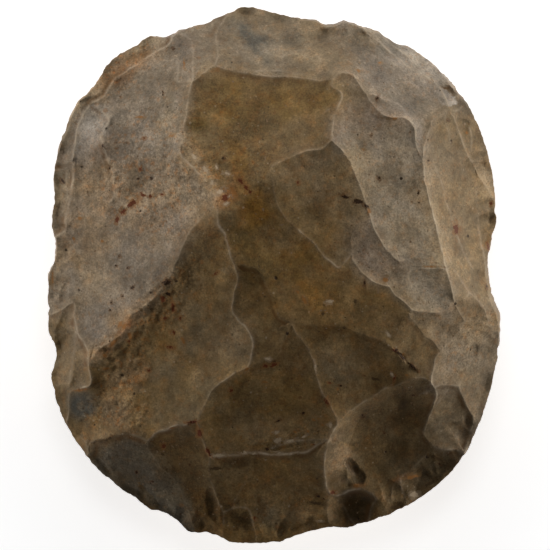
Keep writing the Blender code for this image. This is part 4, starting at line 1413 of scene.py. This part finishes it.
class Nodes:
    """Shorthand for building one material's nodes."""

    def __init__(self, name):
        self.material = bpy.data.materials.new(name)
        self.material.use_nodes = True
        self.tree = self.material.node_tree
        self.shader = self.tree.nodes["Principled BSDF"]
        self.place = self.add("ShaderNodeTexCoord").outputs["Object"]

    def join(self, value, socket):
        """Link an output to the socket, or set the socket to a plain value."""
        if isinstance(value, bpy.types.NodeSocket):
            self.tree.links.new(value, socket)
        else:
            socket.default_value = value

    def add(self, kind, inputs=None, **settings):
        """A new node with these settings, and with these values or outputs at its inputs."""
        node = self.tree.nodes.new(kind)
        for name, value in settings.items():
            setattr(node, name, value)
        for socket, value in (inputs or {}).items():
            self.join(value, node.inputs[socket])
        return node

    def finished(self, inputs):
        """The material, with these values or outputs at its shader's inputs."""
        for socket, value in inputs.items():
            self.join(value, self.shader.inputs[socket])
        return self.material

    def attribute(self, name, output="Fac"):
        """A value that the mesh carries."""
        return self.add("ShaderNodeAttribute", attribute_name=name).outputs[output]

    def noise(self, size, detail, seed, roughness=NOISE_ROUGHNESS):
        """Noise with lumps of this size in millimetres."""
        inputs = {"Vector": self.place, "W": seed, "Scale": 1 / (size * MM),
                  "Detail": detail, "Roughness": roughness}
        return self.add("ShaderNodeTexNoise", inputs, noise_dimensions="4D").outputs["Fac"]

    def between(self, value, start, end, first=0.0, last=1.0):
        """The value's range from start to end, spread over first to last."""
        inputs = dict(enumerate((value, start, end, first, last)))
        return self.add("ShaderNodeMapRange", inputs).outputs["Result"]

    def clouds(self, noise, span):
        """A noise, spread over a range."""
        return self.between(self.noise(*noise), *span)

    def math(self, operation, first, second=0.0):
        """The result of a sum."""
        return self.add("ShaderNodeMath", {0: first, 1: second}, operation=operation).outputs[0]

    def times(self, first, second):
        """One value times the other."""
        return self.math("MULTIPLY", first, second)

    def plus(self, first, second):
        """Both values together."""
        return self.math("ADD", first, second)

    def mix(self, share, first, second, blend="MIX"):
        """The first colour with its share of the second."""
        inputs = {"Factor": share, MIX_FIRST: first, MIX_SECOND: second}
        return self.add("ShaderNodeMix", inputs, data_type="RGBA", blend_type=blend).outputs[MIX_RESULT]

    def shaded(self, colour, noise, depth):
        """The colour made lighter and darker by a noise."""
        shade = self.plus(1, self.times(self.between(noise, *TONE_SPAN, -1, 1), depth))
        tone = self.add("ShaderNodeCombineColor", {0: shade, 1: shade, 2: shade}).outputs[0]
        return self.mix(1.0, colour, tone, "MULTIPLY")

    def specks(self, spacing, size):
        """Ragged specks about this far apart and of this size: how much of one there is, and its number
        between 0 and 1."""
        warp = self.add("ShaderNodeTexNoise", {"Vector": self.place, "Scale": 1 / (size * MM)})
        shift = {0: warp.outputs["Color"], 1: (SPECK_WARP * size * MM,) * 3, 2: self.place}
        moved = self.add("ShaderNodeVectorMath", shift, operation="MULTIPLY_ADD").outputs[0]
        cells = self.add("ShaderNodeTexVoronoi", {"Vector": moved, "Scale": 1 / (spacing * MM)})
        own = self.add("ShaderNodeSeparateColor", {0: cells.outputs["Color"]})
        radius = self.between(own.outputs[1], 0, 1, *(share * size for share in SPECK_RADII))
        outside = self.math("SUBTRACT", self.times(cells.outputs["Distance"], spacing), radius)
        return self.between(outside, SPECK_BLUR, -SPECK_BLUR), own.outputs[0]


def grey(value):
    """A colour without a hue."""
    return (value, value, value, 1)


def clouded(nodes, colour, rough):
    """The patina with its tints, weaker where it isn't warm, and with its lighter and darker patches."""
    parts = nodes.add("ShaderNodeSeparateColor", {0: colour})
    red, blue = parts.outputs[0], parts.outputs[2]
    warmth = nodes.math("DIVIDE", nodes.math("SUBTRACT", red, blue), red)
    most = nodes.between(warmth, *WARM_SPAN, TINT_LEAST, 1)
    for size, seed, start, end, plain, granular_too, tint in TINTS:
        share = nodes.plus(plain, nodes.times(rough, granular_too))
        chosen = nodes.times(nodes.between(nodes.noise(size, TINT_DETAIL, seed), start, end), share)
        chosen = nodes.times(chosen, most) if size > FINE_TINT else chosen
        colour = nodes.mix(chosen, colour, tint, "MULTIPLY")
    for size, detail, seed, plain, granular_too in TONES:
        depth = nodes.plus(plain, nodes.times(rough, granular_too))
        colour = nodes.shaded(colour, nodes.noise(size, detail, seed), depth)
    return colour


def crest_lines(nodes):
    """How much of a ridge's pale crest, partly wear and partly painted highlight, there is at a place."""
    away = nodes.math("ABSOLUTE", nodes.plus(nodes.attribute("across"), nodes.clouds(*CREST_WIGGLE)))
    return nodes.times(nodes.between(away, CREST_LINE, 0, CREST_LEAST, 1), nodes.attribute("ridge"))


def specked(nodes, colour, rough):
    """The colour with its specks, and how deep they dent the skin."""
    noise, span = SPECK_CROWDS
    crowd = nodes.between(nodes.plus(rough, nodes.noise(*noise)), *span)
    dents = 0.0
    for spacing, size, share, strength, dent, speck in SPECKS:
        inside, number = nodes.specks(spacing, size)
        shown = nodes.math("LESS_THAN", number, nodes.times(crowd, share))
        chosen = nodes.times(nodes.times(inside, shown), strength)
        colour = nodes.mix(chosen, colour, speck)
        if dent > 0:
            dents = nodes.plus(dents, nodes.times(chosen, dent))
    return colour, dents


def spotted(nodes, colour):
    """The colour with its spots, each with a broken fringe and a firmer core."""
    parts = [(nodes.times(nodes.math("SUBTRACT", nodes.noise(*noise), 0.5), strength), span)
             for noise, strength, span in SPOT_PARTS]
    for name, tints in SPOT_COLOURS.items():
        field = nodes.attribute(name)
        for (tint, share), (jag, span) in zip(tints, parts):
            colour = nodes.mix(nodes.between(nodes.plus(field, jag), *span, 0, share), colour, tint)
    return colour


def flint_skin():
    """Weathered flint: cloudy patina with stains and painted shade, a seam of rust and painted shade at
    the foot of drops, pale ridge crests that are partly wear and partly painted highlight, specks and
    spots, and a dull satin surface.
    """
    nodes = Nodes("flint skin")
    rough = nodes.attribute("granular")
    colour = clouded(nodes, nodes.attribute("patina", "Color"), rough)
    # The seam at the foot of drops: partly rust, partly painted shade
    rust_and_shade_seam = nodes.times(nodes.attribute("rust_and_shade_seam"), nodes.clouds(*SEAM_CLOUDS))
    colour = nodes.mix(rust_and_shade_seam, colour, SEAM_RUST_AND_SHADE_COLOUR)
    # Pale crests on the ridges: partly wear, partly painted highlight
    crest = crest_lines(nodes)
    colour = nodes.mix(nodes.times(crest, nodes.clouds(*CREST_CLOUDS)), colour, CREST_WEAR_AND_HIGHLIGHT_COLOUR)
    colour, dents = specked(nodes, colour, rough)
    height = nodes.times(nodes.noise(*FINE_BUMPS), nodes.between(rough, 0, 1, *FINE_BUMP_SHARES))
    height = nodes.math("SUBTRACT", nodes.plus(height, nodes.times(crest, CREST_BUMP)), dents)
    bump = nodes.add("ShaderNodeBump", {"Strength": 1.0, "Distance": BUMP_HEIGHT * MM, "Height": height})
    return nodes.finished({
        "Base Color": spotted(nodes, colour),
        "Roughness": nodes.between(rough, 0, 1, *SURFACE_ROUGHNESS),
        "Specular IOR Level": GLOSS,
        "Specular Tint": GLOSS_TINT,
        "Normal": bump.outputs["Normal"],
    })


def floor_material():
    """Pale, matt and a little luminous, as an even white ground is."""
    return Nodes("pale floor").finished({
        "Base Color": grey(FLOOR_COLOUR),
        "Roughness": FLOOR_ROUGHNESS,
        "Emission Color": grey(1.0),
        "Emission Strength": FLOOR_GLOW,
    })


# ------------------------------------------------------------------ studio

def floor():
    """A wide square floor under the stone."""
    mesh = bpy.data.meshes.new("floor")
    half = FLOOR_SIZE / 2
    corners = [(-half, -half, 0), (half, -half, 0), (half, half, 0), (-half, half, 0)]
    mesh.from_pydata(corners, [], [(0, 1, 2, 3)])
    mesh.materials.append(floor_material())
    made = in_scene("floor", mesh)
    made.location = (MIDDLE.x, MIDDLE.y, low.z)
    return made


def softbox(name, bearing, elevation, distance, width, height, light):
    """An area light that faces the stone and gives a surface that faces it this much light."""
    lamp = bpy.data.lights.new(name, "AREA")
    lamp.shape = "RECTANGLE"
    lamp.size = width
    lamp.size_y = height
    lamp.energy = light * math.pi * distance * distance
    turn, tilt = math.radians(bearing), math.radians(elevation)
    direction = Vector((math.cos(turn) * math.cos(tilt), math.sin(turn) * math.cos(tilt), math.sin(tilt)))
    made = in_scene(name, lamp)
    made.location = MIDDLE + direction * distance
    made.rotation_euler = direction.to_track_quat("Z", "Y").to_euler()
    made.visible_camera = False


def dim_world():
    """Even faint light from all round."""
    world = bpy.data.worlds.new("studio")
    world.use_nodes = True
    background = world.node_tree.nodes["Background"]
    background.inputs["Color"].default_value = grey(1.0)
    background.inputs["Strength"].default_value = WORLD_LIGHT
    bpy.context.scene.world = world


def camera():
    """Looks straight down on the stone, with the top of the stone at the top of the picture."""
    data = bpy.data.cameras.new("camera")
    data.sensor_width = SENSOR
    data.lens = SENSOR * CAMERA_DISTANCE / (VIEW_WIDTH * MM)
    data.clip_end = CAMERA_SIGHT
    made = in_scene("camera", data)
    made.location = MIDDLE + Vector((VIEW_MIDDLE[0] * MM, VIEW_MIDDLE[1] * MM, CAMERA_DISTANCE))
    bpy.context.scene.camera = made


axe = stone()
axe.data.materials.append(flint_skin())
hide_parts(NODE)
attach(axe, "root")
floor()
for name, settings in SOFTBOXES.items():
    softbox(name, *settings)
dim_world()
camera()
bpy.context.scene.view_settings.view_transform = "Standard"
